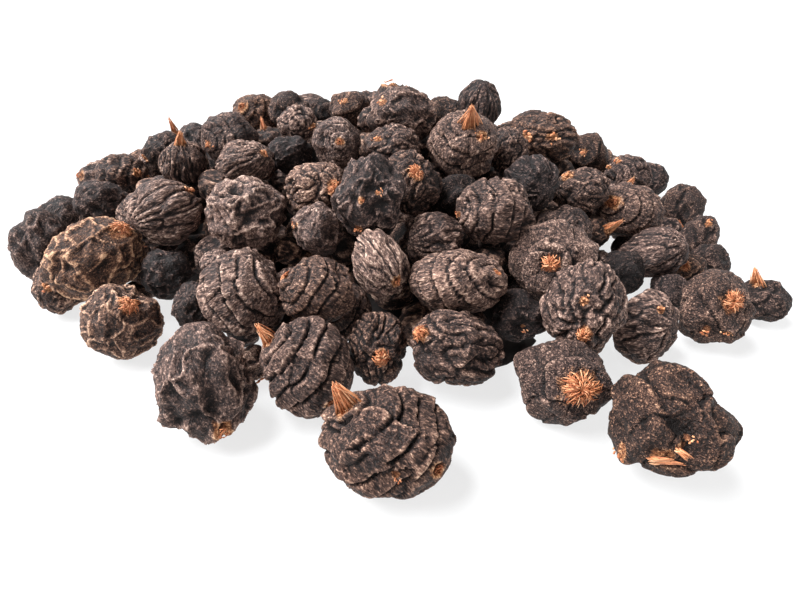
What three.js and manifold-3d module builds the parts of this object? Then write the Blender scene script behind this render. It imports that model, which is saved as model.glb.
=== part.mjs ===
// A loose heap of dried black tiger nuts, as it lies on a flat table, fused into one solid.
// Millimetres, +Z up. The origin is on the table, under the middle of the heap.
// Each nut that shows has its real size and the point of an 800 x 600 picture where its middle
// stands. Its line of sight, the heap's rounded form and its neighbours settle where it lies.
// The far side and the gaps, which the picture doesn't show, are filled with like nuts by rule.
import * as THREE from 'three';
import { mergeVertices } from 'three/addons/utils/BufferGeometryUtils.js';
import Module from 'manifold-3d';

const wasm = await Module();
wasm.setup();

// The picture: its middle, how far its plane is from the eye, in pixels, the row of its
// horizon, and the height of the eye above the table.
const PICTURE = { u: 400, v: 300, distance: 550, horizon: -60 };
const EYE_HEIGHT = 54;

// The heap's form: how far its nuts are lifted off the table. Distances are from under the eye.
const HEAP_MIDDLE = { x: -3, y: 114 };
const HEAP_REACH = { left: 70, right: 62, near: 56 };
const CREST_DISTANCE = 107;
const SIGHT_LIMIT = 111;
const FAR_SLOPE = { reach: 48, curve: 1.4 };
const PEAK = { rise: 24, curve: 1.0 };
const ORIGIN_ON_TABLE = { x: -4.93, y: 97.1 };

// How nuts lie against each other and on the table.
const CONTACT = 0.96;
const TABLE_SINK = 0.35;
const SETTLE_STEPS = 150;
const PUSH = 0.42;
const SIGHT_PULL = 0.5;
const HEAP_PULL = 0.06;
const DEPTH_SHARE = 0.95;
const SIGHT_START = 45;
const SIGHT_STEP = 0.25;
const NEIGHBOUR_REACH = 24;

// The nuts that the picture doesn't show: like the others on the far side and behind shown ones,
// then small ones in the gaps. kept: how much of a shown nut they leave in sight. swell: how much
// larger they are drawn, because their few flat faces cut into the round form.
const HIDDEN_LAYERS = [
  { seed: 31, count: 110, least: 8, spread: 5.5, sunk: 0, sunkMore: 4, kept: 0.5, swell: 1.05 },
  { seed: 47, count: 40, least: 6, spread: 3, sunk: 0.5, sunkMore: 6, kept: 0.3, swell: 1.1 },
];
const HIDDEN_TRIES = 200;
const HIDDEN_SHAPE = { wide: 1.08, tall: 0.95, slope: 0.4 };
const HIDDEN_FIELD = { left: -78, right: 64, near: 58, far: 156 };
const HIDDEN_OVERLAP = 0.5;
const DEPTH_COST = 0.3;

// Each nut's shrunken form: flattened patches, and more sides where it is near and large.
const DENT_SEED = 700;
const DENTS = 8;
const DENT_DEPTH = { least: 0.04, spread: 0.13 };
const LARGE_HALVES = 14.6;
const NEAR_SIGHT = 90;

// The core that the nuts lie on.
const FOOTPRINT_ROOM = { across: 400, high: 100 };
const CORE_MIDDLE = { x: -5.2, y: 98 };
const CORE = { rise: 1.2, rim: 2.0, sectors: 24, rings: 3, window: 0.2, inset: 1 };

const MERGE_WITHIN = 1e-4;
const NUT_COLOUR = 0x3a322d;

// The nuts that show. u, v: picture point of the middle. wide, tall: size across the line of
// sight, mm. lean: turn of the width, degrees clockwise. deep: sunk into the heap, mm.
const SHOWN_NUTS = [
  // front row, on the table
  { u: 388, v: 440, wide: 15.2, tall: 13.2 },
  { u: 668, v: 419, wide: 15.0, tall: 14.8 },
  { u: 204, v: 382, wide: 13.8, tall: 15.6 },
  { u: 307, v: 367, wide: 12.4, tall: 13.8 },
  { u: 455, v: 347, wide: 13.6, tall: 11.2 },
  { u: 377, v: 347, wide: 8.7, tall: 10.9 },
  { u: 564, v: 380, wide: 13.7, tall: 12.1, lean: 6 },
  { u: 123, v: 321, wide: 12.1, tall: 12.3 },
  { u: 645, v: 326, wide: 9.5, tall: 11.8 },
  { u: 714, v: 309, wide: 11.8, tall: 12.7 },
  { u: 764, v: 301, wide: 8.4, tall: 7.9, lean: 12 },
  // left side
  { u: 95, v: 257, wide: 16.4, tall: 13.0, lean: -10 },
  { u: 60, v: 287, wide: 8.7, tall: 10.6 },
  { u: 45, v: 249, wide: 11.4, tall: 15.2 },
  { u: 102, v: 203, wide: 10.4, tall: 9.5 },
  { u: 122, v: 175, wide: 10.6, tall: 9.2 },
  { u: 164, v: 149, wide: 9.4, tall: 8.2, deep: 1 },
  { u: 184, v: 163, wide: 9.4, tall: 8.3 },
  { u: 165, v: 213, wide: 12.6, tall: 11.0, lean: 8 },
  { u: 195, v: 305, wide: 7.7, tall: 8.2, deep: 2 },
  { u: 168, v: 274, wide: 8.7, tall: 9.0, deep: 3 },
  { u: 246, v: 213, wide: 13.4, tall: 12.0 },
  { u: 246, v: 293, wide: 12.8, tall: 13.4 },
  // crest, from left to right
  { u: 197, v: 142, wide: 8.2, tall: 8.3, deep: 1 },
  { u: 230, v: 138, wide: 10.5, tall: 9.7 },
  { u: 245, v: 161, wide: 10.4, tall: 7.8 },
  { u: 256, v: 115, wide: 10.4, tall: 9.8, deep: 1 },
  { u: 291, v: 108, wide: 9.6, tall: 8.2, deep: 3 },
  { u: 297, v: 124, wide: 7.8, tall: 7.6 },
  { u: 322, v: 114, wide: 8.2, tall: 7.6, deep: 2 },
  { u: 350, v: 108, wide: 9.3, tall: 7.9, deep: 1 },
  { u: 402, v: 116, wide: 13.4, tall: 10.6 },
  { u: 444, v: 118, wide: 8.8, tall: 8.4, deep: 1 },
  { u: 479, v: 109, wide: 9.4, tall: 11.4 },
  { u: 541, v: 139, wide: 14.6, tall: 10.2 },
  { u: 587, v: 154, wide: 9.4, tall: 9.5 },
  // middle, upper rows
  { u: 290, v: 154, wide: 9.0, tall: 7.8, deep: 2 },
  { u: 337, v: 143, wide: 8.6, tall: 8.8 },
  { u: 394, v: 147, wide: 11.0, tall: 8.2, deep: 1 },
  { u: 464, v: 148, wide: 13.2, tall: 11.9 },
  { u: 507, v: 150, wide: 8.3, tall: 8.9, deep: 3 },
  { u: 318, v: 190, wide: 11.3, tall: 9.1 },
  { u: 369, v: 195, wide: 12.0, tall: 13.0 },
  { u: 411, v: 184, wide: 10.5, tall: 10.9 },
  { u: 455, v: 200, wide: 9.6, tall: 9.6, deep: 4 },
  { u: 496, v: 211, wide: 12.6, tall: 10.7 },
  { u: 318, v: 229, wide: 8.5, tall: 8.9 },
  { u: 432, v: 241, wide: 10.4, tall: 9.0 },
  // middle, lower rows
  { u: 318, v: 289, wide: 10.8, tall: 9.9 },
  { u: 347, v: 314, wide: 7.5, tall: 9.8, deep: 2 },
  { u: 380, v: 262, wide: 8.5, tall: 10.8, lean: -24 },
  { u: 456, v: 283, wide: 15.2, tall: 10.0, lean: -6 },
  { u: 518, v: 316, wide: 9.2, tall: 8.8, deep: 1.5 },
  { u: 520, v: 272, wide: 8.0, tall: 9.0, deep: 3 },
  { u: 553, v: 263, wide: 13.8, tall: 13.6 },
  { u: 583, v: 302, wide: 12.0, tall: 13.0, deep: -2 },
  // right side
  { u: 545, v: 153, wide: 10.6, tall: 8.0, deep: 2 },
  { u: 530, v: 183, wide: 9.9, tall: 10.0 },
  { u: 582, v: 190, wide: 10.1, tall: 8.4, lean: -14 },
  { u: 562, v: 231, wide: 10.0, tall: 8.7, deep: 2 },
  { u: 625, v: 178, wide: 10.8, tall: 9.8 },
  { u: 650, v: 179, wide: 8.8, tall: 8.8, deep: 1 },
  { u: 627, v: 212, wide: 12.9, tall: 10.3 },
  { u: 681, v: 208, wide: 9.5, tall: 11.4 },
  { u: 632, v: 250, wide: 8.4, tall: 8.2, deep: 3 },
  { u: 699, v: 240, wide: 7.9, tall: 10.2 },
  { u: 652, v: 255, wide: 12.3, tall: 9.3, lean: -26 },
  { u: 622, v: 270, wide: 8.2, tall: 8.2, deep: 4 },
  { u: 684, v: 271, wide: 8.2, tall: 7.8 },
  { u: 708, v: 266, wide: 7.8, tall: 8.2, deep: 1 },
  { u: 668, v: 292, wide: 7.6, tall: 8.0, deep: 2 },
];

// The same draws for the same seed, always.
function seeded(seed) {
  let state = seed >>> 0;
  return () => {
    state = (state + 0x6d2b79f5) >>> 0;
    let mixed = state;
    mixed = Math.imul(mixed ^ (mixed >>> 15), mixed | 1);
    mixed ^= mixed + Math.imul(mixed ^ (mixed >>> 7), mixed | 61);
    return ((mixed ^ (mixed >>> 14)) >>> 0) / 4294967296;
  };
}

// ---- the heap's form and the lines of sight

const lookDown = Math.atan2(PICTURE.v - PICTURE.horizon, PICTURE.distance);
const eye = new THREE.Vector3(0, 0, EYE_HEIGHT);
const forward = new THREE.Vector3(0, Math.cos(lookDown), -Math.sin(lookDown));
const downward = new THREE.Vector3(0, -Math.sin(lookDown), -Math.cos(lookDown));

function lineOfSight(u, v) {
  const ray = forward.clone();
  ray.x += (u - PICTURE.u) / PICTURE.distance;
  ray.addScaledVector(downward, (v - PICTURE.v) / PICTURE.distance);
  return ray;
}

function nearSpread(x, y) {
  const reach = x < HEAP_MIDDLE.x ? HEAP_REACH.left : HEAP_REACH.right;
  const across = (x - HEAP_MIDDLE.x) / reach;
  const along = (y - HEAP_MIDDLE.y) / HEAP_REACH.near;
  return across * across + along * along;
}

function heapLift(x, y) {
  const spread = nearSpread(x, Math.min(y, CREST_DISTANCE));
  const rise = PEAK.rise * Math.max(0, 1 - spread) ** PEAK.curve;
  const past = Math.min(1, Math.max(0, (y - CREST_DISTANCE) / FAR_SLOPE.reach));
  return rise * (1 - past ** FAR_SLOPE.curve);
}

// Where a nut on a line of sight lies on the heap, or passes nearest to it.
function meetHeap(ray, nut) {
  let nearest = null;
  let leastGap = Infinity;
  for (let sight = SIGHT_START; ; sight += SIGHT_STEP) {
    const point = eye.clone().addScaledVector(ray, sight);
    const gap = point.z - heapLift(point.x, point.y) - nut.floor + nut.deep;
    if (gap < leastGap) {
      leastGap = gap;
      nearest = point;
    }
    if (gap <= 0 || point.y > SIGHT_LIMIT) return nearest;
  }
}

// ---- the nuts, each an ellipsoid with three half sizes along three axes

function makeNut({ ray, wide, tall, lean = 0, deep = 0 }) {
  const away = ray.clone().normalize();
  const level = new THREE.Vector3(away.y, -away.x, 0).normalize();
  const below = new THREE.Vector3().crossVectors(away, level);
  const turn = THREE.MathUtils.degToRad(lean);
  const widthAxis = level.clone().multiplyScalar(Math.cos(turn));
  widthAxis.addScaledVector(below, Math.sin(turn));
  const heightAxis = new THREE.Vector3().crossVectors(away, widthAxis);
  const half = [wide / 2, tall / 2, (DEPTH_SHARE * Math.sqrt(wide * tall)) / 2];
  const axes = [widthAxis, heightAxis, away];
  const drop = Math.hypot(...axes.map((axis, i) => axis.z * half[i]));
  return { axes, half, deep, floor: drop - TABLE_SINK };
}

function shownNuts() {
  return SHOWN_NUTS.map((row) => {
    const ray = lineOfSight(row.u, row.v);
    const nut = makeNut({ ...row, ray });
    return { ...nut, middle: meetHeap(ray, nut), sight: ray.clone().normalize() };
  });
}

// How far a nut's surface is from its middle, towards a direction.
function reachTowards(nut, direction) {
  return 1 / Math.hypot(...nut.axes.map((axis, i) => axis.dot(direction) / nut.half[i]));
}

// A nut of drawn size and turn, at a drawn place on the heap.
function drawnNut(draw, layer) {
  const { left, right, near, far } = HIDDEN_FIELD;
  const x = left + (right - left) * draw();
  const y = near + (far - near) * draw();
  const size = layer.least + layer.spread * draw();
  const turn = Math.PI * draw();
  const deep = layer.sunk + layer.sunkMore * draw();
  const past = Math.max(0, y - CREST_DISTANCE) / FAR_SLOPE.reach;
  if (nearSpread(x, Math.min(y, CREST_DISTANCE)) + past * past > 1) return null;
  const ray = new THREE.Vector3(Math.sin(turn), Math.cos(turn), -HIDDEN_SHAPE.slope);
  const wide = size * HIDDEN_SHAPE.wide;
  const nut = makeNut({ ray, wide, tall: size * HIDDEN_SHAPE.tall, deep });
  const z = Math.max(nut.floor, heapLift(x, y) + nut.floor - deep);
  return { ...nut, layer, middle: new THREE.Vector3(x, y, z) };
}

// The room between a nut and the nearest of the others, less than nothing where they cross.
function roomBeside(nut, others) {
  const away = new THREE.Vector3();
  let room = Infinity;
  for (const other of others) {
    away.subVectors(other.middle, nut.middle);
    const apart = away.length();
    if (apart > NEIGHBOUR_REACH) continue;
    away.divideScalar(apart);
    room = Math.min(room, apart - reachTowards(nut, away) - reachTowards(other, away));
  }
  return room;
}

// Whether a nut stands in front of one that shows.
function blocksSight(nut, shown) {
  const from = nut.middle.clone().sub(eye);
  return shown.some((other) => {
    const depth = from.dot(other.sight);
    const depthBehind = other.middle.distanceTo(eye);
    if (depth > depthBehind) return false;
    const aside = from.clone().addScaledVector(other.sight, -depth);
    const apart = aside.length();
    const size = reachTowards(nut, aside.divideScalar(apart));
    const seen = Math.min(other.half[0], other.half[1]) * (depth / depthBehind);
    return apart < size + nut.layer.kept * seen;
  });
}

// Fills what is left of the heap, each nut in the tightest and highest of the places tried.
function hiddenNuts(layer, shown, others) {
  const draw = seeded(layer.seed);
  const placed = [];
  for (let count = 0; count < layer.count; count += 1) {
    let best = null;
    for (let attempt = 0; attempt < HIDDEN_TRIES; attempt += 1) {
      const nut = drawnNut(draw, layer);
      if (!nut) continue;
      const room = roomBeside(nut, [...others, ...placed]);
      const cost = room + DEPTH_COST * nut.deep;
      if (room < -HIDDEN_OVERLAP || (best && cost >= best.cost)) continue;
      if (!blocksSight(nut, shown)) best = { nut, cost };
    }
    if (best) placed.push(best.nut);
  }
  return placed;
}

// Nuts that cross push each other off, stay on their lines of sight and stand on the table.
function settle(nuts) {
  nuts.forEach((nut) => {
    nut.start = nut.middle.clone();
  });
  const away = new THREE.Vector3();
  for (let step = 0; step < SETTLE_STEPS; step += 1) {
    const moves = nuts.map(() => new THREE.Vector3());
    for (let i = 0; i < nuts.length; i += 1) {
      for (let j = i + 1; j < nuts.length; j += 1) {
        away.subVectors(nuts[j].middle, nuts[i].middle);
        const apart = away.length();
        if (apart > NEIGHBOUR_REACH) continue;
        away.divideScalar(apart);
        const room = CONTACT * (reachTowards(nuts[i], away) + reachTowards(nuts[j], away));
        if (apart >= room) continue;
        moves[i].addScaledVector(away, -PUSH * (room - apart));
        moves[j].addScaledVector(away, PUSH * (room - apart));
      }
    }
    nuts.forEach((nut, i) => {
      nut.middle.add(moves[i]);
      const aim = nut.sight
        ? eye.clone().addScaledVector(nut.sight, nut.middle.clone().sub(eye).dot(nut.sight))
        : nut.start;
      nut.middle.lerp(aim, nut.sight ? SIGHT_PULL : HEAP_PULL);
      const height = heapLift(nut.middle.x, nut.middle.y) + nut.floor - nut.deep;
      nut.middle.z += HEAP_PULL * (height - nut.middle.z);
      nut.middle.z = Math.max(nut.middle.z, nut.floor);
    });
  }
}

// ---- solids

function toSolid(geometry) {
  const bare = geometry.clone();
  bare.deleteAttribute('normal');
  bare.deleteAttribute('uv');
  const merged = mergeVertices(bare, MERGE_WITHIN);
  const mesh = new wasm.Mesh({
    numProp: 3,
    vertProperties: Float32Array.from(merged.attributes.position.array),
    triVerts: Uint32Array.from(merged.index.array),
  });
  return new wasm.Manifold(mesh);
}

function randomDirection(draw) {
  const z = 2 * draw() - 1;
  const turn = 2 * Math.PI * draw();
  const flat = Math.sqrt(1 - z * z);
  return new THREE.Vector3(flat * Math.cos(turn), flat * Math.sin(turn), z);
}

// A ball of few faces: 180 on a large near nut, 80 on any other that shows, 36 on a hidden one
// and 20 on one in a gap.
function roundedBlank(nut) {
  if (nut.layer === HIDDEN_LAYERS[1]) return new THREE.IcosahedronGeometry(1, 0);
  if (nut.layer) return new THREE.DodecahedronGeometry(1, 0);
  const near = nut.middle.distanceTo(eye) < NEAR_SIGHT;
  const large = nut.half[0] + nut.half[1] > LARGE_HALVES;
  return new THREE.IcosahedronGeometry(1, near && large ? 2 : 1);
}

function nutSolid(nut, index) {
  const shape = roundedBlank(nut);
  const draw = seeded(DENT_SEED + index);
  const dents = Array.from({ length: DENTS }, () => ({
    direction: randomDirection(draw),
    level: 1 - DENT_DEPTH.least - DENT_DEPTH.spread * draw(),
  }));
  const swell = nut.layer ? nut.layer.swell : 1;
  const points = shape.attributes.position;
  const point = new THREE.Vector3();
  for (let i = 0; i < points.count; i += 1) {
    point.fromBufferAttribute(points, i);
    let radius = 1;
    for (const { direction, level } of dents) {
      const facing = point.dot(direction);
      if (facing > level) radius = Math.min(radius, level / facing);
    }
    point.multiplyScalar(radius * swell);
    const placed = nut.middle.clone();
    nut.axes.forEach((axis, k) => placed.addScaledVector(axis, point.getComponent(k) * nut.half[k]));
    points.setXYZ(i, placed.x, placed.y, placed.z);
  }
  return toSolid(shape);
}

// How far the nuts' middles reach from the heap's middle, in each sector.
function coreReach(nuts, middle, angle) {
  let reach = 0;
  for (const nut of nuts) {
    const dx = nut.middle.x - middle.x;
    const dy = nut.middle.y - middle.y;
    const off = Math.atan2(dy, dx) - angle;
    const wrapped = Math.abs(Math.atan2(Math.sin(off), Math.cos(off)));
    if (wrapped < CORE.window) reach = Math.max(reach, Math.hypot(dx, dy) * Math.cos(wrapped));
  }
  return reach - CORE.inset;
}

// A low mound: rings of points on its top, a small upright rim and a flat foot.
function coreSolid(nuts) {
  const middle = CORE_MIDDLE;
  const places = [];
  const faces = [];
  const ringStart = (ring) => 1 + (ring - 1) * CORE.sectors;
  places.push([middle.x, middle.y, heapLift(middle.x, middle.y) + CORE.rise]);
  for (let ring = 1; ring <= CORE.rings + 1; ring += 1) {
    for (let sector = 0; sector < CORE.sectors; sector += 1) {
      const angle = (2 * Math.PI * sector) / CORE.sectors;
      const reach = (coreReach(nuts, middle, angle) * Math.min(ring, CORE.rings)) / CORE.rings;
      const x = middle.x + reach * Math.cos(angle);
      const y = middle.y + reach * Math.sin(angle);
      const top = Math.max(CORE.rim, heapLift(x, y) + CORE.rise);
      places.push([x, y, ring > CORE.rings ? 0 : top]);
    }
  }
  places.push([middle.x, middle.y, 0]);
  const foot = places.length - 1;
  for (let sector = 0; sector < CORE.sectors; sector += 1) {
    const next = (sector + 1) % CORE.sectors;
    faces.push(0, 1 + sector, 1 + next);
    for (let ring = 1; ring <= CORE.rings; ring += 1) {
      const inner = ringStart(ring);
      const outer = ringStart(ring + 1);
      faces.push(inner + sector, outer + sector, outer + next);
      faces.push(inner + sector, outer + next, inner + next);
    }
    const edge = ringStart(CORE.rings + 1);
    faces.push(foot, edge + next, edge + sector);
  }
  const geometry = new THREE.BufferGeometry();
  geometry.setAttribute('position', new THREE.Float32BufferAttribute(places.flat(), 3));
  geometry.setIndex(faces);
  return toSolid(geometry);
}

// Everything fused, cut level with the table, without loose scraps or sealed hollows.
function fuse(solids) {
  const { across, high } = FOOTPRINT_ROOM;
  const room = new THREE.BoxGeometry(across, across, high).translate(0, across / 4, high / 2);
  let whole = solids[0];
  for (const solid of solids.slice(1)) whole = whole.add(solid);
  whole = whole.intersect(toSolid(room));
  const bodies = whole.decompose();
  return bodies.reduce((best, body) => (body.volume() > best.volume() ? body : best));
}

function toGeometry(solid) {
  const mesh = solid.getMesh();
  const geometry = new THREE.BufferGeometry();
  const places = new Float32Array(mesh.vertProperties);
  geometry.setAttribute('position', new THREE.BufferAttribute(places, 3));
  geometry.setIndex(new THREE.BufferAttribute(new Uint32Array(mesh.triVerts), 1));
  geometry.translate(-ORIGIN_ON_TABLE.x, -ORIGIN_ON_TABLE.y, 0);
  geometry.computeVertexNormals();
  return geometry;
}

const shown = shownNuts();
settle(shown);
const nuts = [...shown];
for (const layer of HIDDEN_LAYERS) nuts.push(...hiddenNuts(layer, shown, nuts));
settle(nuts);

const skin = new THREE.MeshStandardMaterial({ color: NUT_COLOUR, roughness: 0.85, metalness: 0 });
const heap = new THREE.Mesh(toGeometry(fuse([coreSolid(nuts), ...nuts.map(nutSolid)])), skin);
heap.name = 'tiger_nut_heap';

const model = new THREE.Group();
model.add(heap);

export default model;
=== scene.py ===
"""A loose heap of dried, wrinkled black tiger nuts on a bare white surface.

Every nut is laid again by the rule that the solid heap follows: the nuts that show by their size
and line of sight, the others by seeded draws. Each is then given its own folds, wear, painted
shade and highlight, and husk.
Placing is worked out in millimetres from under the eye, and pieces are made in metres.
"""

import math

import bpy
import numpy as np
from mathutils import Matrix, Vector


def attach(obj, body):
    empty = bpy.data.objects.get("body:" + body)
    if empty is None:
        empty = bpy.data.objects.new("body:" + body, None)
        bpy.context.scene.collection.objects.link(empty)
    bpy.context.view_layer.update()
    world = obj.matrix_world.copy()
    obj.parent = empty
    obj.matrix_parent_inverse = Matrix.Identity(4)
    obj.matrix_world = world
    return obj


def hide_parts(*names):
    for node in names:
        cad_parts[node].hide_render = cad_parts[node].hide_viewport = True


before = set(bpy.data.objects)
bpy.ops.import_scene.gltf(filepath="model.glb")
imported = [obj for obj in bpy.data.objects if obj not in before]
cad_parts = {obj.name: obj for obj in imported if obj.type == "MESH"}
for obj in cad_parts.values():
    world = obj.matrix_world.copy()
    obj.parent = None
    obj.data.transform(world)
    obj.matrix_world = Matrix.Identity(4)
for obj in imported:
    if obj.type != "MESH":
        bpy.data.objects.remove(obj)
bpy.ops.object.select_all(action="DESELECT")
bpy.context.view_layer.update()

NODE = "tiger_nut_heap"
BODY = "root"
MM = 0.001

# The picture, in pixels: its width and middle, how far its plane is from the eye, and the row of its
# horizon. In mm: the eye, straight over 0, 0, and the heap's own origin on the table before it.
PICTURE = dict(width=800, u=400, v=300, distance=550, horizon=-60)
EYE = np.array([0.0, 0.0, 54.0])
ORIGIN_ON_TABLE = np.array([-4.93, 97.1, 0.0])

# The heap's form: how far its nuts are lifted off the table. Distances are from under the eye.
HEAP_MIDDLE = (-3, 114)
HEAP_REACH = dict(left=70, right=62, near=56)
CREST_DISTANCE = 107
SIGHT_LIMIT = 111
FAR_SLOPE = dict(reach=48, curve=1.4)
PEAK = dict(rise=24, curve=1.0)

# How nuts lie against each other and on the table.
CONTACT = 0.96
TABLE_SINK = 0.35
SETTLE_STEPS = 150
PUSH = 0.42
SIGHT_PULL = 0.5
HEAP_PULL = 0.06
DEPTH_SHARE = 0.95
SIGHT_START = 45
SIGHT_STEP = 0.25
NEIGHBOUR_REACH = 24

# How finely a nut is made: cuts along the side of its blank, by how many pixels wide it looks. Those
# that the picture doesn't show take the first three numbers.
CUTS = (5, 10, 14, 20, 25, 31, 38, 44)
CUTS_FOR_WIDTH = 0.4
DEEP_CUTS, GAP_CUTS, HIDDEN_CUTS = CUTS[:3]
CRUMB_CUTS = 3

# The nuts that the picture doesn't show: like the others on the far side and behind shown ones,
# then small ones in the gaps. kept: how much of a shown nut they leave in sight. husk: whether
# they have any.
HIDDEN_LAYERS = (
    dict(seed=31, count=110, least=8, spread=5.5, sunk=0, sunk_more=4, kept=0.5, cuts=HIDDEN_CUTS,
         husk=True),
    dict(seed=47, count=40, least=6, spread=3, sunk=0.5, sunk_more=6, kept=0.3, cuts=GAP_CUTS,
         husk=True),
)
HIDDEN_TRIES = 200
HIDDEN_SHAPE = dict(wide=1.08, tall=0.95, slope=0.4)
HIDDEN_FIELD = dict(left=-78, right=64, near=58, far=156)
HIDDEN_OVERLAP = 0.5
DEPTH_COST = 0.3

# Small nuts between and under those, as high as there is room for them.
DEEP = dict(seed=57, sizes=(8.5, 7.0, 5.5), least=0.9, spread=0.2, step=4.0, near=18, drop=0.75,
            top=1.0, lift=5.0, overlap=0.6, kept=0.35, cuts=DEEP_CUTS, husk=False)

# Each nut's shrunken form: flattened patches.
DENT_SEED = 700
DENTS = 8
DENT_DEPTH = dict(least=0.04, spread=0.13)
DENT_ROUNDING = 0.025
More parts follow.
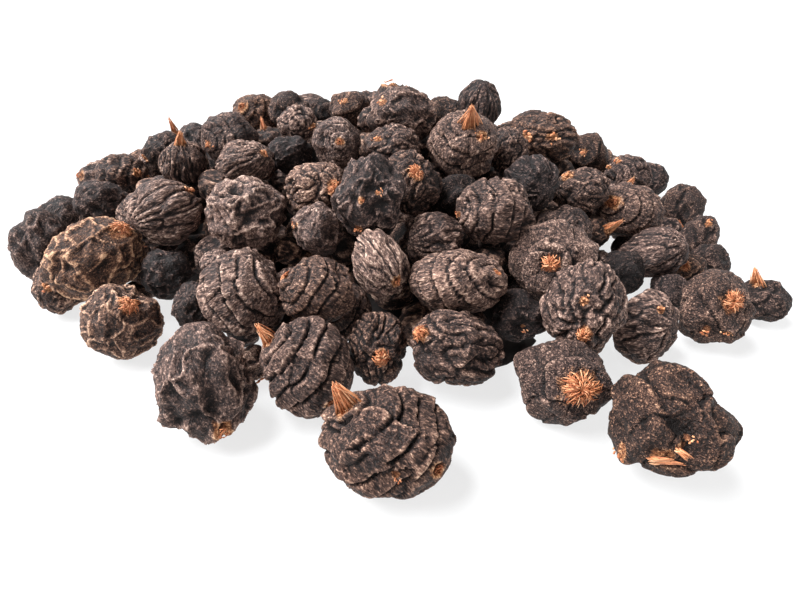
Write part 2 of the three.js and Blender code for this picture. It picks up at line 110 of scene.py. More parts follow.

# The nuts that show. u, v: picture point of the middle. wide, tall: size across the line of
# sight, mm. lean: turn of the width, degrees clockwise. deep: sunk into the heap, mm.
# form: how its skin has shrunk. pole: where its growing tip points, right and down, as shares of
# its half size. pale, warm: its colour, 0 to 1; pale is partly painted light and shade, low for
# nuts that lie in shadow and moved up or down where a nut looks more or less lit. marks: kind,
# right, down and size in mm.
SHOWN_NUTS = [
    # front row, on the table
    dict(u=388, v=440, wide=15.2, tall=13.2, form="ringed",
         pole=(-0.66, -0.56), pale=0.45, warm=0.6,
         marks=[("spike", -0.62, -0.58, 3.6), ("navel", 0.7, 0.48, 1.6), ("chip", 0.12, 0.62, 0.8)]),
    dict(u=668, v=419, wide=15, tall=14.8, form="folded",
         pole=(-0.72, 0.3), pale=0.32, warm=0.9,
         marks=[("flake", 0.12, 0.64, 3.4), ("flake", 0.33, 0.4, 1.8), ("chip", 0.4, 0.2, 0.8),
                ("chip", -0.5, 0.78, 1.4)]),
    dict(u=204, v=382, wide=13.8, tall=15.6, form="crumpled",
         pole=(0.1, 0.86), pale=0.52, warm=0.3,
         marks=[("navel", 0.1, 0.86, 2)]),
    dict(u=307, v=367, wide=12.4, tall=13.8, form="ringed",
         pole=(-0.72, -0.62), pale=0.5, warm=0.4,
         marks=[("spike", -0.74, -0.62, 2.6), ("navel", 0.38, 0.68, 1.3)]),
    dict(u=455, v=347, wide=13.6, tall=11.2, form="wormy",
         pole=(-0.78, -0.22), pale=0.4, warm=0.45,
         marks=[("disc", -0.7, -0.3, 2.7)]),
    dict(u=377, v=347, wide=8.7, tall=10.9, form="wormy",
         pole=(0.1, 0.28), pale=0.3, warm=0.62,
         marks=[("disc", 0.12, 0.28, 2.4)]),
    dict(u=564, v=380, wide=13.7, tall=12.1, lean=6, form="folded",
         pole=(0.36, 0.08), pale=0.5, warm=0.4,
         marks=[("disc", 0.36, 0.06, 5.2)]),
    dict(u=123, v=321, wide=12.1, tall=12.3, form="netted",
         pole=(0.26, -0.36), pale=0.55, warm=0.75,
         marks=[("disc", 0.26, -0.36, 3.2)]),
    dict(u=645, v=326, wide=9.5, tall=11.8, form="furrowed",
         pole=(0.8, -0.2), pale=0.5, warm=0.35,
         marks=[("chip", 0.3, -0.5, 0.9)]),
    dict(u=714, v=309, wide=11.8, tall=12.7, form="folded",
         pole=(0.4, -0.34), pale=0.45, warm=0.55,
         marks=[("disc", 0.4, -0.34, 3.8), ("chip", 0, 0.7, 1.2), ("chip", 0.5, 0.5, 0.9)]),
    dict(u=764, v=301, wide=8.4, tall=7.9, lean=12, form="folded",
         pole=(-0.5, -0.7), pale=0.3, warm=0.4,
         marks=[("spike", -0.5, -0.72, 2.8)]),
    # left side
    dict(u=95, v=257, wide=16.4, tall=13, lean=-10, form="netted",
         pole=(0.62, -0.5), pale=0.55, warm=1.0,
         marks=[("disc", 0.6, -0.52, 3.6)]),
    dict(u=60, v=287, wide=8.7, tall=10.6, form="netted",
         pole=(-0.5, 0.2), pale=0.5, warm=0.6,
         marks=[("chip", -0.4, -0.05, 1.4)]),
    dict(u=45, v=249, wide=11.4, tall=15.2, form="crumpled",
         pole=(-0.3, -0.6), pale=0.45, warm=0.25),
    dict(u=102, v=203, wide=10.4, tall=9.5, form="crumpled",
         pole=(-0.8, 0.1), pale=0.35, warm=0.2),
    dict(u=122, v=175, wide=10.6, tall=9.2, form="ringed",
         pole=(0.9, 0.2), pale=0.45, warm=0.55,
         marks=[("chip", 0.6, 0, 1.6), ("chip", 0.92, 0.3, 1)]),
    dict(u=164, v=149, wide=9.4, tall=8.2, deep=1, form="ringed",
         pole=(-0.8, 0.1), pale=0.35, warm=0.35,
         marks=[("chip", -0.9, 0.3, 1.3)]),
    dict(u=184, v=163, wide=9.4, tall=8.3, form="furrowed",
         pole=(0.05, -0.9), pale=0.5, warm=0.42,
         marks=[("spike", 0.03, -0.86, 2.2)]),
    dict(u=165, v=213, wide=12.6, tall=11, lean=8, form="furrowed",
         pole=(-0.9, 0.2), pale=0.65, warm=0.32,
         marks=[("chip", 0.76, -0.55, 1.5)]),
    dict(u=195, v=305, wide=7.7, tall=8.2, deep=2, form="crumpled",
         pole=(0.6, 0.2), pale=0.3, warm=0.2),
    dict(u=168, v=274, wide=8.7, tall=9, deep=3, form="crumpled",
         pole=(0.6, 0.4), pale=0.14, warm=0.2),
    dict(u=246, v=213, wide=13.4, tall=12, form="crumpled",
         pole=(0.3, -0.5), pale=0.65, warm=0.3),
    dict(u=246, v=293, wide=12.8, tall=13.4, form="ringed",
         pole=(0.7, -0.3), pale=0.65, warm=0.35),
    # crest, from left to right
    dict(u=197, v=142, wide=8.2, tall=8.3, deep=1, form="crumpled",
         pole=(0.3, -0.5), pale=0.4, warm=0.1),
    dict(u=230, v=138, wide=10.5, tall=9.7, form="ringed",
         pole=(-0.88, 0.1), pale=0.45, warm=0.3,
         marks=[("chip", -0.8, 0.2, 1.3)]),
    dict(u=245, v=161, wide=10.4, tall=7.8, form="furrowed",
         pole=(0.7, -0.25), pale=0.6, warm=0.35,
         marks=[("chip", 0.66, -0.3, 1.2)]),
    dict(u=256, v=115, wide=10.4, tall=9.8, deep=1, form="ringed",
         pole=(-0.6, -0.4), pale=0.5, warm=0.8,
         marks=[("navel", -0.5, -0.42, 1.8)]),
    dict(u=291, v=108, wide=9.6, tall=8.2, deep=3, form="folded",
         pole=(0.2, -0.5), pale=0.4, warm=0.5),
    dict(u=297, v=124, wide=7.8, tall=7.6, form="wormy",
         pole=(0.5, 0.3), pale=0.65, warm=0.32,
         marks=[("chip", 0.8, 0.2, 1.1)]),
    dict(u=322, v=114, wide=8.2, tall=7.6, deep=2, form="folded",
         pole=(0.4, -0.2), pale=0.3, warm=0.4),
    dict(u=350, v=108, wide=9.3, tall=7.9, deep=1, form="folded",
         pole=(-0.4, -0.5), pale=0.5, warm=0.6,
         marks=[("chip", -0.3, -0.4, 1.4)]),
    dict(u=402, v=116, wide=13.4, tall=10.6, form="crumpled",
         pole=(-0.6, -0.5), pale=0.5, warm=0.35,
         marks=[("chip", -0.6, -0.5, 1.5)]),
    dict(u=444, v=118, wide=8.8, tall=8.4, deep=1, form="folded",
         pole=(0.2, -0.3), pale=0.4, warm=0.7),
    dict(u=479, v=109, wide=9.4, tall=11.4, form="furrowed",
         pole=(0.1, -0.9), pale=0.3, warm=0.3),
    dict(u=541, v=139, wide=14.6, tall=10.2, form="wormy",
         pole=(-0.8, 0.1), pale=0.45, warm=0.8,
         marks=[("chip", -0.4, 0, 1.8), ("chip", 0.3, -0.1, 1.6)]),
    dict(u=587, v=154, wide=9.4, tall=9.5, form="folded",
         pole=(-0.4, -0.2), pale=0.4, warm=0.7,
         marks=[("chip", -0.2, -0.1, 1.4)]),
    # middle, upper rows
    dict(u=290, v=154, wide=9, tall=7.8, deep=2, form="crumpled",
         pole=(0.4, -0.2), pale=0.2, warm=0.05),
    dict(u=337, v=143, wide=8.6, tall=8.8, form="ringed",
         pole=(0.12, -0.02), pale=0.6, warm=0.25,
         marks=[("navel", 0.1, -0.04, 1.1)]),
    dict(u=394, v=147, wide=11, tall=8.2, deep=1, form="wormy",
         pole=(-0.6, -0.3), pale=0.45, warm=0.4,
         marks=[("chip", -0.6, -0.4, 1.2)]),
    dict(u=464, v=148, wide=13.2, tall=11.9, form="ringed",
         pole=(0.16, -0.62), pale=0.6, warm=0.45,
         marks=[("spike", 0.12, -0.62, 3.2), ("chip", 0.45, -0.3, 1.5)]),
    dict(u=507, v=150, wide=8.3, tall=8.9, deep=3, form="wormy",
         pole=(0.3, -0.6), pale=0.45, warm=0.45),
    dict(u=318, v=190, wide=11.3, tall=9.1, form="wormy",
         pole=(0.66, 0.05), pale=0.65, warm=0.55,
         marks=[("disc", 0.52, 0.04, 3)]),
    dict(u=369, v=195, wide=12, tall=13, form="crumpled",
         pole=(-0.4, 0.6), pale=0.35, warm=0.2,
         marks=[("chip", -0.2, 0.1, 0.9), ("chip", 0.3, -0.1, 0.8), ("chip", -0.3, 0.75, 1)]),
    dict(u=411, v=184, wide=10.5, tall=10.9, form="wormy",
         pole=(0.2, -0.3), pale=0.35, warm=0.55,
         marks=[("disc", 0.18, -0.32, 2.9)]),
    dict(u=455, v=200, wide=9.6, tall=9.6, deep=4, form="folded",
         pole=(0.3, 0.2), pale=0.14, warm=0.3),
    dict(u=496, v=211, wide=12.6, tall=10.7, form="ringed",
         pole=(-0.96, 0.04), pale=0.55, warm=0.4,
         marks=[("chip", -0.95, 0.2, 0.8)]),
    dict(u=318, v=229, wide=8.5, tall=8.9, form="crumpled",
         pole=(-0.8, -0.1), pale=0.6, warm=0.25,
         marks=[("chip", -0.86, -0.2, 0.9)]),
    dict(u=432, v=241, wide=10.4, tall=9, form="furrowed",
         pole=(-0.7, 0.1), pale=0.5, warm=0.35),
    # middle, lower rows
    dict(u=318, v=289, wide=10.8, tall=9.9, form="ringed",
         pole=(-0.8, -0.5), pale=0.5, warm=0.6,
         marks=[("disc", -0.8, -0.5, 1.8)]),
    dict(u=347, v=314, wide=7.5, tall=9.8, deep=2, form="ringed",
         pole=(-0.6, -0.5), pale=0.5, warm=0.45),
    dict(u=380, v=262, wide=8.5, tall=10.8, lean=-24, form="furrowed",
         pole=(0.56, 0.6), pale=0.75, warm=0.35,
         marks=[("navel", 0.5, 0.46, 1.5)]),
    dict(u=456, v=283, wide=15.2, tall=10, lean=-6, form="ringed",
         pole=(0.84, -0.26), pale=0.65, warm=0.45,
         marks=[("navel", 0.76, -0.34, 1.2)]),
    dict(u=518, v=316, wide=9.2, tall=8.8, deep=1.5, form="crumpled",
         pole=(0.3, 0.4), pale=0.2, warm=0.2,
         marks=[("chip", 0.3, 0.5, 0.7)]),
    dict(u=520, v=272, wide=8, tall=9, deep=3, form="folded",
         pole=(0.5, 0.3), pale=0.4, warm=0.4),
    dict(u=553, v=263, wide=13.8, tall=13.6, form="folded",
         pole=(-0.08, 0.1), pale=0.6, warm=0.4,
         marks=[("disc", -0.06, 0.08, 2.9)]),
    dict(u=583, v=302, wide=12, tall=13, deep=-2, form="wormy",
         pole=(0.16, 0.62), pale=0.5, warm=0.35,
         marks=[("disc", 0.14, 0.6, 2), ("chip", 0, -0.1, 1)]),
    # right side
    dict(u=545, v=153, wide=10.6, tall=8, deep=2, form="furrowed",
         pole=(-0.8, 0.2), pale=0.35, warm=0.3),
    dict(u=530, v=183, wide=9.9, tall=10, form="furrowed",
         pole=(0.6, 0.2), pale=0.25, warm=0.1),
    dict(u=582, v=190, wide=10.1, tall=8.4, lean=-14, form="wormy",
         pole=(-0.8, -0.4), pale=0.45, warm=0.45,
         marks=[("chip", -0.62, -0.58, 1.7)]),
    dict(u=562, v=231, wide=10, tall=8.7, deep=2, form="ringed",
         pole=(0.5, -0.4), pale=0.4, warm=0.4),
    dict(u=625, v=178, wide=10.8, tall=9.8, form="wormy",
         pole=(-0.4, -0.7), pale=0.45, warm=0.3,
         marks=[("chip", -0.4, -0.66, 1.2), ("chip", -0.8, -0.4, 1.1)]),
    dict(u=650, v=179, wide=8.8, tall=8.8, deep=1, form="furrowed",
         pole=(0.5, -0.3), pale=0.25, warm=0.3),
    dict(u=627, v=212, wide=12.9, tall=10.3, form="ringed",
         pole=(-0.46, -0.16), pale=0.55, warm=0.45,
         marks=[("navel", -0.42, -0.2, 2.2)]),
    dict(u=681, v=208, wide=9.5, tall=11.4, form="folded",
         pole=(0.6, -0.3), pale=0.35, warm=0.5),
    dict(u=632, v=250, wide=8.4, tall=8.2, deep=3, form="folded",
         pole=(0.5, 0.1), pale=0.2, warm=0.1),
    dict(u=699, v=240, wide=7.9, tall=10.2, form="folded",
         pole=(0.3, -0.7), pale=0.35, warm=0.45,
         marks=[("chip", 0.2, -0.76, 1.4)]),
    dict(u=652, v=255, wide=12.3, tall=9.3, lean=-26, form="furrowed",
         pole=(0.8, -0.4), pale=0.5, warm=0.3),
    dict(u=622, v=270, wide=8.2, tall=8.2, deep=4, form="folded",
         pole=(0.3, 0.3), pale=0.12, warm=0.3),
    dict(u=684, v=271, wide=8.2, tall=7.8, form="folded",
         pole=(-0.2, -0.4), pale=0.4, warm=0.9,
         marks=[("disc", -0.1, -0.3, 2.4)]),
    dict(u=708, v=266, wide=7.8, tall=8.2, deep=1, form="folded",
         pole=(0.4, -0.4), pale=0.3, warm=0.4),
    dict(u=668, v=292, wide=7.6, tall=8, deep=2, form="folded",
         pole=(0.3, -0.5), pale=0.3, warm=0.2),
]


# ---- seeded draws and smooth noise


WORD = 0xFFFFFFFF


def seeded(seed):
    """The same draws for the same seed, always."""
    state = seed & WORD

    def draw():
        nonlocal state
        state = (state + 0x6D2B79F5) & WORD
        mixed = ((state ^ (state >> 15)) * (state | 1)) & WORD
        mixed ^= (mixed + (((mixed ^ (mixed >> 7)) * (mixed | 61)) & WORD)) & WORD
        return ((mixed ^ (mixed >> 14)) & WORD) / (WORD + 1)

    return draw


def unit(vectors):
    return vectors / np.linalg.norm(vectors, axis=-1, keepdims=True)


def ease(x, low=0.0, high=1.0):
    """From 0 at low to 1 at high, smoothly."""
    t = np.clip((x - low) / (high - low), 0, 1)
    return t * t * (3 - 2 * t)


NOISE_GRADIENTS = unit(np.random.default_rng(5).normal(size=(256, 3)))
NOISE_PRIMES = (73856093, 19349663, 83492791)
NOISE_CORNERS = np.array([[i, j, k] for i in (0, 1) for j in (0, 1) for k in (0, 1)])
NOISE_MIX = (7919, 2246822519, 2654435761)
NOISE_GAIN = 1.7


def noise(points, seed):
    """Smooth noise at each point, about -1 to 1, with bumps about one unit wide."""
    cell = np.floor(points).astype(np.int64)
    part = points - cell
    near = part * part * part * (part * (part * 6 - 15) + 10)
    total = np.zeros(len(points))
    for corner in NOISE_CORNERS:
        at = cell + corner
        key = at[:, 0] * NOISE_PRIMES[0] ^ at[:, 1] * NOISE_PRIMES[1] ^ at[:, 2] * NOISE_PRIMES[2]
        key = (key + seed * NOISE_MIX[0]) * NOISE_MIX[1] & WORD
        key = (key ^ key >> 15) * NOISE_MIX[2] & WORD
        gradient = NOISE_GRADIENTS[(key >> 13) % len(NOISE_GRADIENTS)]
        weight = np.prod(np.where(corner, near, 1 - near), axis=1)
        total += weight * np.einsum("ij,ij->i", gradient, part - corner)
    return total * NOISE_GAIN


def swirl(points, seed):
    """Three noises as a vector, to bend a pattern with."""
    return np.stack([noise(points, seed + k) for k in range(3)], axis=1)


# ---- the heap's form and the lines of sight

LOOK_DOWN = math.atan2(PICTURE["v"] - PICTURE["horizon"], PICTURE["distance"])
FORWARD = np.array([0, math.cos(LOOK_DOWN), -math.sin(LOOK_DOWN)])
DOWNWARD = np.array([0, -math.sin(LOOK_DOWN), -math.cos(LOOK_DOWN)])


def line_of_sight(u, v):
    """From the eye through a point of the picture, one long towards the picture's middle."""
    ray = FORWARD + DOWNWARD * (v - PICTURE["v"]) / PICTURE["distance"]
    ray[0] += (u - PICTURE["u"]) / PICTURE["distance"]
    return ray


def near_spread(x, y):
    """How far out on the heap's near side a place is: 0 in the middle, 1 at the outline."""
    reach = HEAP_REACH["left"] if x < HEAP_MIDDLE[0] else HEAP_REACH["right"]
    across = (x - HEAP_MIDDLE[0]) / reach
    along = (y - HEAP_MIDDLE[1]) / HEAP_REACH["near"]
    return across * across + along * along


def heap_lift(x, y):
    """How far the nuts at a place are lifted off the table."""
    spread = near_spread(x, min(y, CREST_DISTANCE))
    rise = PEAK["rise"] * max(0, 1 - spread) ** PEAK["curve"]
    past = min(1, max(0, (y - CREST_DISTANCE) / FAR_SLOPE["reach"]))
    return rise * (1 - past ** FAR_SLOPE["curve"])


def meet_heap(ray, nut):
    """Where a nut on a line of sight lies on the heap, or passes nearest to it."""
    nearest = None
    least_gap = math.inf
    sight = SIGHT_START
    while True:
        point = EYE + ray * sight
        gap = point[2] - heap_lift(point[0], point[1]) - nut["floor"] + nut["deep"]
        if gap < least_gap:
            least_gap = gap
            nearest = point
        if gap <= 0 or point[1] > SIGHT_LIMIT:
            return nearest
        sight += SIGHT_STEP


# ---- the nuts, each an ellipsoid with three half sizes along three axes


def make_nut(ray, wide, tall, lean=0, deep=0):
    """A nut of a size as seen along a ray. floor: how high its middle is when it lies on the table."""
    away = unit(ray)
    level = unit(np.array([away[1], -away[0], 0]))
    below = np.cross(away, level)
    turn = math.radians(lean)
    width_axis = level * math.cos(turn) + below * math.sin(turn)
    height_axis = np.cross(away, width_axis)
    half = np.array([wide / 2, tall / 2, DEPTH_SHARE * math.sqrt(wide * tall) / 2])
    axes = np.array([width_axis, height_axis, away])
    drop = math.hypot(*(axes[:, 2] * half))
    picture_axes = np.array([level, below, away])
    return dict(axes=axes, half=half, deep=deep, floor=drop - TABLE_SINK, view=picture_axes)


def shown_nuts():
    nuts = []
    for row in SHOWN_NUTS:
        ray = line_of_sight(row["u"], row["v"])
        nut = make_nut(ray, row["wide"], row["tall"], row.get("lean", 0), row.get("deep", 0))
        nut.update(middle=meet_heap(ray, nut), sight=unit(ray), look=row)
        nuts.append(nut)
    return nuts


def drawn_nut(draw, layer):
    """A nut of drawn size and turn, at a drawn place on the heap."""
    field = HIDDEN_FIELD
    x = field["left"] + (field["right"] - field["left"]) * draw()
    y = field["near"] + (field["far"] - field["near"]) * draw()
    size = layer["least"] + layer["spread"] * draw()
    turn = math.pi * draw()
    deep = layer["sunk"] + layer["sunk_more"] * draw()
    past = max(0, y - CREST_DISTANCE) / FAR_SLOPE["reach"]
    if near_spread(x, min(y, CREST_DISTANCE)) + past * past > 1:
        return None
    ray = np.array([math.sin(turn), math.cos(turn), -HIDDEN_SHAPE["slope"]])
    nut = make_nut(ray, size * HIDDEN_SHAPE["wide"], size * HIDDEN_SHAPE["tall"], 0, deep)
    z = max(nut["floor"], heap_lift(x, y) + nut["floor"] - deep)
    nut.update(middle=np.array([x, y, z]), layer=layer)
    return nut


def stack(nuts, key):
    """One thing that each nut has, for all nuts in one array."""
    return np.array([nut[key] for nut in nuts])


def reaches(axes, half, directions):
    """How far each nut's surface is from its middle, towards its own direction."""
    return 1 / np.linalg.norm(np.einsum("nij,nj->ni", axes, directions) / half, axis=1)


def room_beside(nut, middles, axes, half):
    """The room between a nut and the nearest of the others, less than nothing where they cross."""
    away = middles - nut["middle"]
    apart = np.linalg.norm(away, axis=1)
    near = apart <= NEIGHBOUR_REACH
    if not near.any():
        return math.inf
    away, apart = away[near] / apart[near, None], apart[near]
    own = reaches(np.broadcast_to(nut["axes"], (len(apart), 3, 3)), nut["half"], away)
    return float(np.min(apart - own - reaches(axes[near], half[near], away)))


def blocks_sight(nut, shown, kept):
    """Whether a nut stands too far in front of one that shows."""
    start = nut["middle"] - EYE
    sights = stack(shown, "sight")
    depth = sights @ start
    depth_behind = np.linalg.norm(stack(shown, "middle") - EYE, axis=1)
    aside = start - depth[:, None] * sights
    apart = np.linalg.norm(aside, axis=1)
    own_axes = np.broadcast_to(nut["axes"], (len(shown), 3, 3))
    size = reaches(own_axes, nut["half"], aside / apart[:, None])
    seen = np.min(stack(shown, "half")[:, :2], axis=1) * depth / depth_behind
    return bool(np.any((depth <= depth_behind) & (apart < size + kept * seen)))


def hidden_nuts(layer, shown, others):
    """Fills what is left of the heap, each nut in the tightest and highest of the places tried."""
    draw = seeded(layer["seed"])
    placed = []
    for _ in range(layer["count"]):
        best, least_cost = None, math.inf
        middles, axes, half = (stack(others + placed, key) for key in ("middle", "axes", "half"))
        for _ in range(HIDDEN_TRIES):
            nut = drawn_nut(draw, layer)
            if nut is None:
                continue
            room = room_beside(nut, middles, axes, half)
            cost = room + DEPTH_COST * nut["deep"]
            if room < -HIDDEN_OVERLAP or (best and cost >= least_cost):
                continue
            if not blocks_sight(nut, shown, layer["kept"]):
                best, least_cost = nut, cost
        if best:
            placed.append(best)
    return placed


def settle(nuts):
    """Nuts that cross push each other off, stay on their lines of sight and stand on the table."""
    middles, axes, half = (stack(nuts, key) for key in ("middle", "axes", "half"))
    start = middles.copy()
    first, second = np.triu_indices(len(nuts), 1)
    for _ in range(SETTLE_STEPS):
        away = middles[second] - middles[first]
        apart = np.linalg.norm(away, axis=1)
        away /= apart[:, None]
        room = reaches(axes[first], half[first], away) + reaches(axes[second], half[second], away)
        push = np.where(apart > NEIGHBOUR_REACH, 0, np.maximum(0, CONTACT * room - apart))
        moves = np.zeros_like(middles)
        np.add.at(moves, first, -PUSH * push[:, None] * away)
        np.add.at(moves, second, PUSH * push[:, None] * away)
        middles += moves
        for i, nut in enumerate(nuts):
            aim, pull = start[i], HEAP_PULL
            if "sight" in nut:
                aim = EYE + nut["sight"] * ((middles[i] - EYE) @ nut["sight"])
                pull = SIGHT_PULL
            middles[i] += pull * (aim - middles[i])
            height = heap_lift(middles[i][0], middles[i][1]) + nut["floor"] - nut["deep"]
            middles[i][2] += HEAP_PULL * (height - middles[i][2])
            middles[i][2] = max(middles[i][2], nut["floor"])
    for nut, middle in zip(nuts, middles):
        nut["middle"] = middle


def deep_nut_at(x, y, size, turn, nuts, shown):
    """A small nut as high over a spot as the ones about it leave room for, or none."""
    ray = np.array([math.sin(turn), math.cos(turn), -HIDDEN_SHAPE["slope"]])
    nut = make_nut(ray, size * HIDDEN_SHAPE["wide"], size * HIDDEN_SHAPE["tall"])
    nut["layer"] = DEEP
    middles, axes, half = (stack(nuts, key) for key in ("middle", "axes", "half"))
    near = np.hypot(middles[:, 0] - x, middles[:, 1] - y) < DEEP["near"]
    middles, axes, half = middles[near], axes[near], half[near]
    for z in np.arange(heap_lift(x, y) + nut["floor"] - DEEP["top"], nut["floor"], -DEEP["drop"]):
        nut["middle"] = np.array([x, y, z])
        if room_beside(nut, middles, axes, half) <= -DEEP["overlap"]:
            continue
        if not blocks_sight(nut, shown, DEEP["kept"]):
            return nut
    return None


def deep_nuts(nuts, shown):
    """Fills the gaps with small nuts, the larger ones first."""
    draw = seeded(DEEP["seed"])
    placed = []
    field, step = HIDDEN_FIELD, DEEP["step"]
    for size in DEEP["sizes"]:
        for x in np.arange(field["left"], field["right"], step):
            for y in np.arange(field["near"], field["far"], step):
                spot = x + step * (draw() - 0.5), y + step * (draw() - 0.5)
                drawn_size = size * (DEEP["least"] + DEEP["spread"] * draw())
                turn = math.pi * draw()
                if heap_lift(*spot) < DEEP["lift"]:
                    continue
                nut = deep_nut_at(*spot, drawn_size, turn, nuts + placed, shown)
                if nut:
                    placed.append(nut)
    return placed


# ---- blanks and meshes


def ball_blank(cuts):
    """A cube cut evenly and rounded: its points as directions, its quads and its edges."""
    bpy.ops.mesh.primitive_cube_add(size=2)
    cube = bpy.context.object
    bpy.ops.object.mode_set(mode="EDIT")
    bpy.ops.mesh.select_all(action="SELECT")
    bpy.ops.mesh.subdivide(number_cuts=cuts)
    bpy.ops.object.mode_set(mode="OBJECT")
    mesh = cube.data
    points = np.zeros(len(mesh.vertices) * 3)
    mesh.vertices.foreach_get("co", points)
    quads = np.zeros(len(mesh.polygons) * 4, np.int64)
    mesh.loops.foreach_get("vertex_index", quads)
    edges = np.zeros(len(mesh.edges) * 2, np.int64)
    mesh.edges.foreach_get("vertices", edges)
    bpy.data.objects.remove(cube)
    even = np.tan(points.reshape(-1, 3) * math.pi / 4)
    return dict(points=unit(even), quads=quads.reshape(-1, 4), edges=edges.reshape(-1, 2), cuts=cuts)


BLANKS = {cuts: ball_blank(cuts) for cuts in CUTS}
CRUMB_BLANK = ball_blank(CRUMB_CUTS)


def smoothed(values, blank, passes):
    """Each point's value evened out with its neighbours', a number of times."""
    first, second = blank["edges"].T
    count = len(values)
    share = np.bincount(first, minlength=count) + np.bincount(second, minlength=count)
    for _ in range(passes):
        total = np.bincount(first, values[second], count) + np.bincount(second, values[first], count)
        values = 0.5 * values + 0.5 * total / share
    return values


def mesh_of(name, points, faces):
    """A mesh from points in mm and arrays of faces, each array with one number of corners."""
    corners = np.concatenate([face.ravel() for face in faces])
    sizes = np.concatenate([np.full(len(face), face.shape[1]) for face in faces])
    mesh = bpy.data.meshes.new(name)
    mesh.vertices.add(len(points))
    mesh.vertices.foreach_set("co", (points * MM).astype(np.float32).ravel())
    mesh.loops.add(len(corners))
    mesh.loops.foreach_set("vertex_index", corners.astype(np.int32))
    mesh.polygons.add(len(sizes))
    mesh.polygons.foreach_set("loop_start", (np.cumsum(sizes) - sizes).astype(np.int32))
    mesh.update(calc_edges=True)
    return mesh


def add_wear(mesh, parts):
    """Gives a mesh the wear of its parts, with painted light and shade among it, one attribute for each
    kind.
    """
    for key in parts[0]["wear"]:
        values = np.concatenate([part["wear"][key] for part in parts]).astype(np.float32)
        kind, field = ("FLOAT_VECTOR", "vector") if values.ndim == 2 else ("FLOAT", "value")
        attribute = mesh.attributes.new(key, kind, "POINT")
        attribute.data.foreach_set(field, values.ravel())


def joined_piece(name, parts, material):
    """One object of many closed shapes. A part has points, in mm from under the eye, faces and wear,
    painted light and shade among it.
    """
    points = np.concatenate([part["points"] for part in parts]) - ORIGIN_ON_TABLE
    offsets = np.cumsum([0] + [len(part["points"]) for part in parts[:-1]])
    faces = []
    for key, size in (("quads", 4), ("triangles", 3)):
        found = [part[key] + offset for part, offset in zip(parts, offsets) if key in part]
        faces.append(np.concatenate(found) if found else np.zeros((0, size), np.int64))
    mesh = mesh_of(name, points, faces)
    add_wear(mesh, parts)
    mesh.shade_smooth()
    mesh.materials.append(material)
    piece = bpy.data.objects.new(name, mesh)
    bpy.context.scene.collection.objects.link(piece)
    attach(piece, BODY)
    return piece


# ---- how a nut's skin has shrunk: each form gives a height, in shares of the half size

# scale, about, along: bumps of noise in a half size. width, fade, tips: where a groove or patch
# begins and ends. What is added to a seed keeps one noise apart from the next.
PLATES = dict(shards=22, bend=0.1, bend_scale=2.2, wander_scale=1.2)
RINGED = dict(plates=6.6, more_plates=1.8, steps=7, wander=0.34, broken=0.36, rise=0.07,
              crack=0.1, crack_width=0.085, crack_scale=1.6, crack_fade=(-0.95, -0.1), lean=0.045,
              edge=0.035, edge_width=0.035, edge_scale=2.2, edge_fade=(-0.4, 0.3), bend=0.25,
              bend_scale=2, fine=0.018, fine_width=0.12, fine_about=4.5, fine_along=1.6)
FURROWED = dict(bend=0.25, bend_scale=1.8, tips=(0.05, 0.5),
                broad=0.1, broad_width=0.15, broad_about=2.0, broad_along=1.7,
                fine=0.035, fine_width=0.2, fine_about=5, fine_along=2.6)
WORMY = dict(shrunk=0.6, scale=2.5, bend=0.35, bend_scale=1.7, broad=0.1, broad_width=0.17,
             fine=0.04, fine_width=0.2, fine_scale=2.1)
CELL_BEND_SCALE = 2.6
CRUMPLED = dict(broad=0.16, broad_cells=14, broad_bend=0.38, broad_width=0.45, broad_power=0.75,
                broad_scale=1.4, broad_fade=(-0.8, 0.1),
                fine=0.05, fine_cells=44, fine_bend=0.32, fine_width=0.24, fine_power=0.9,
                fine_scale=1.9, fine_fade=(-0.5, 0.4))
NETTED = dict(fine=0.06, fine_cells=48, fine_bend=0.2, fine_width=0.16,
              broad=0.05, broad_cells=14, broad_bend=0.3, broad_width=0.35)
FOLDED = dict(plates=3.1, more_plates=0.8, steps=5, wander=0.3, broken=0.3, lap=0.13,
              lap_rise=0.8, lap_fall=0.86, flats=12, flat_depth=0.13, lean=0.04, edge=0.03,
              edge_width=0.03, fine=0.012, fine_width=0.1, fine_scale=3.5)
POLE_ASIDE = (0.31, -0.74, 0.6)
LEAST_RING = 1e-6


def grooves(values, width):
    """Narrow grooves where the values pass zero, 0 to 1."""
    return np.exp(-((values / width) ** 2))


def patchy(points, seed, scale, fade):
    """How much of something there is at each point, 0 to 1, in soft patches."""
    return ease(noise(points * scale, seed), *fade)


def square_to(axis, aside):
    """Two directions square to an axis and to each other, the first also square to aside."""
    side = unit(np.cross(axis, aside))
    return side, np.cross(axis, side)


def around(points, pole):
    """The angle from the pole, 0 to 1, and the two parts of the direction round it."""
    side, other = square_to(pole, POLE_ASIDE)
    along = np.clip(points @ pole, -1, 1)
    ring = np.maximum(np.sqrt(1 - along * along), LEAST_RING)
    return np.arccos(along) / math.pi, points @ side / ring, points @ other / ring


def tip_to_tip(turned, about, along):
    """Places for a noise that has some bumps about the pole and some along it."""
    angle, side, other = turned
    return np.stack([side * about, other * about, angle * along], axis=1)


def shards(points, seed):
    """The height and slope of the angular shard that each point is in, and how near its edge is."""
    rng = np.random.default_rng(seed)
    count = PLATES["shards"]
    centres = unit(rng.normal(size=(count, 3)))
    bent = unit(points + PLATES["bend"] * swirl(points * PLATES["bend_scale"], seed))
    apart = np.arccos(np.clip(bent @ centres.T, -1, 1))
    nearest = np.argmin(apart, axis=1)
    sides = np.sort(apart, axis=1)
    tilt = rng.normal(size=(count, 3))
    lean = np.sum(tilt[nearest] * (points - centres[nearest]), axis=1)
    return rng.uniform(-0.5, 0.5, count)[nearest], lean, sides[:, 1] - sides[:, 0]


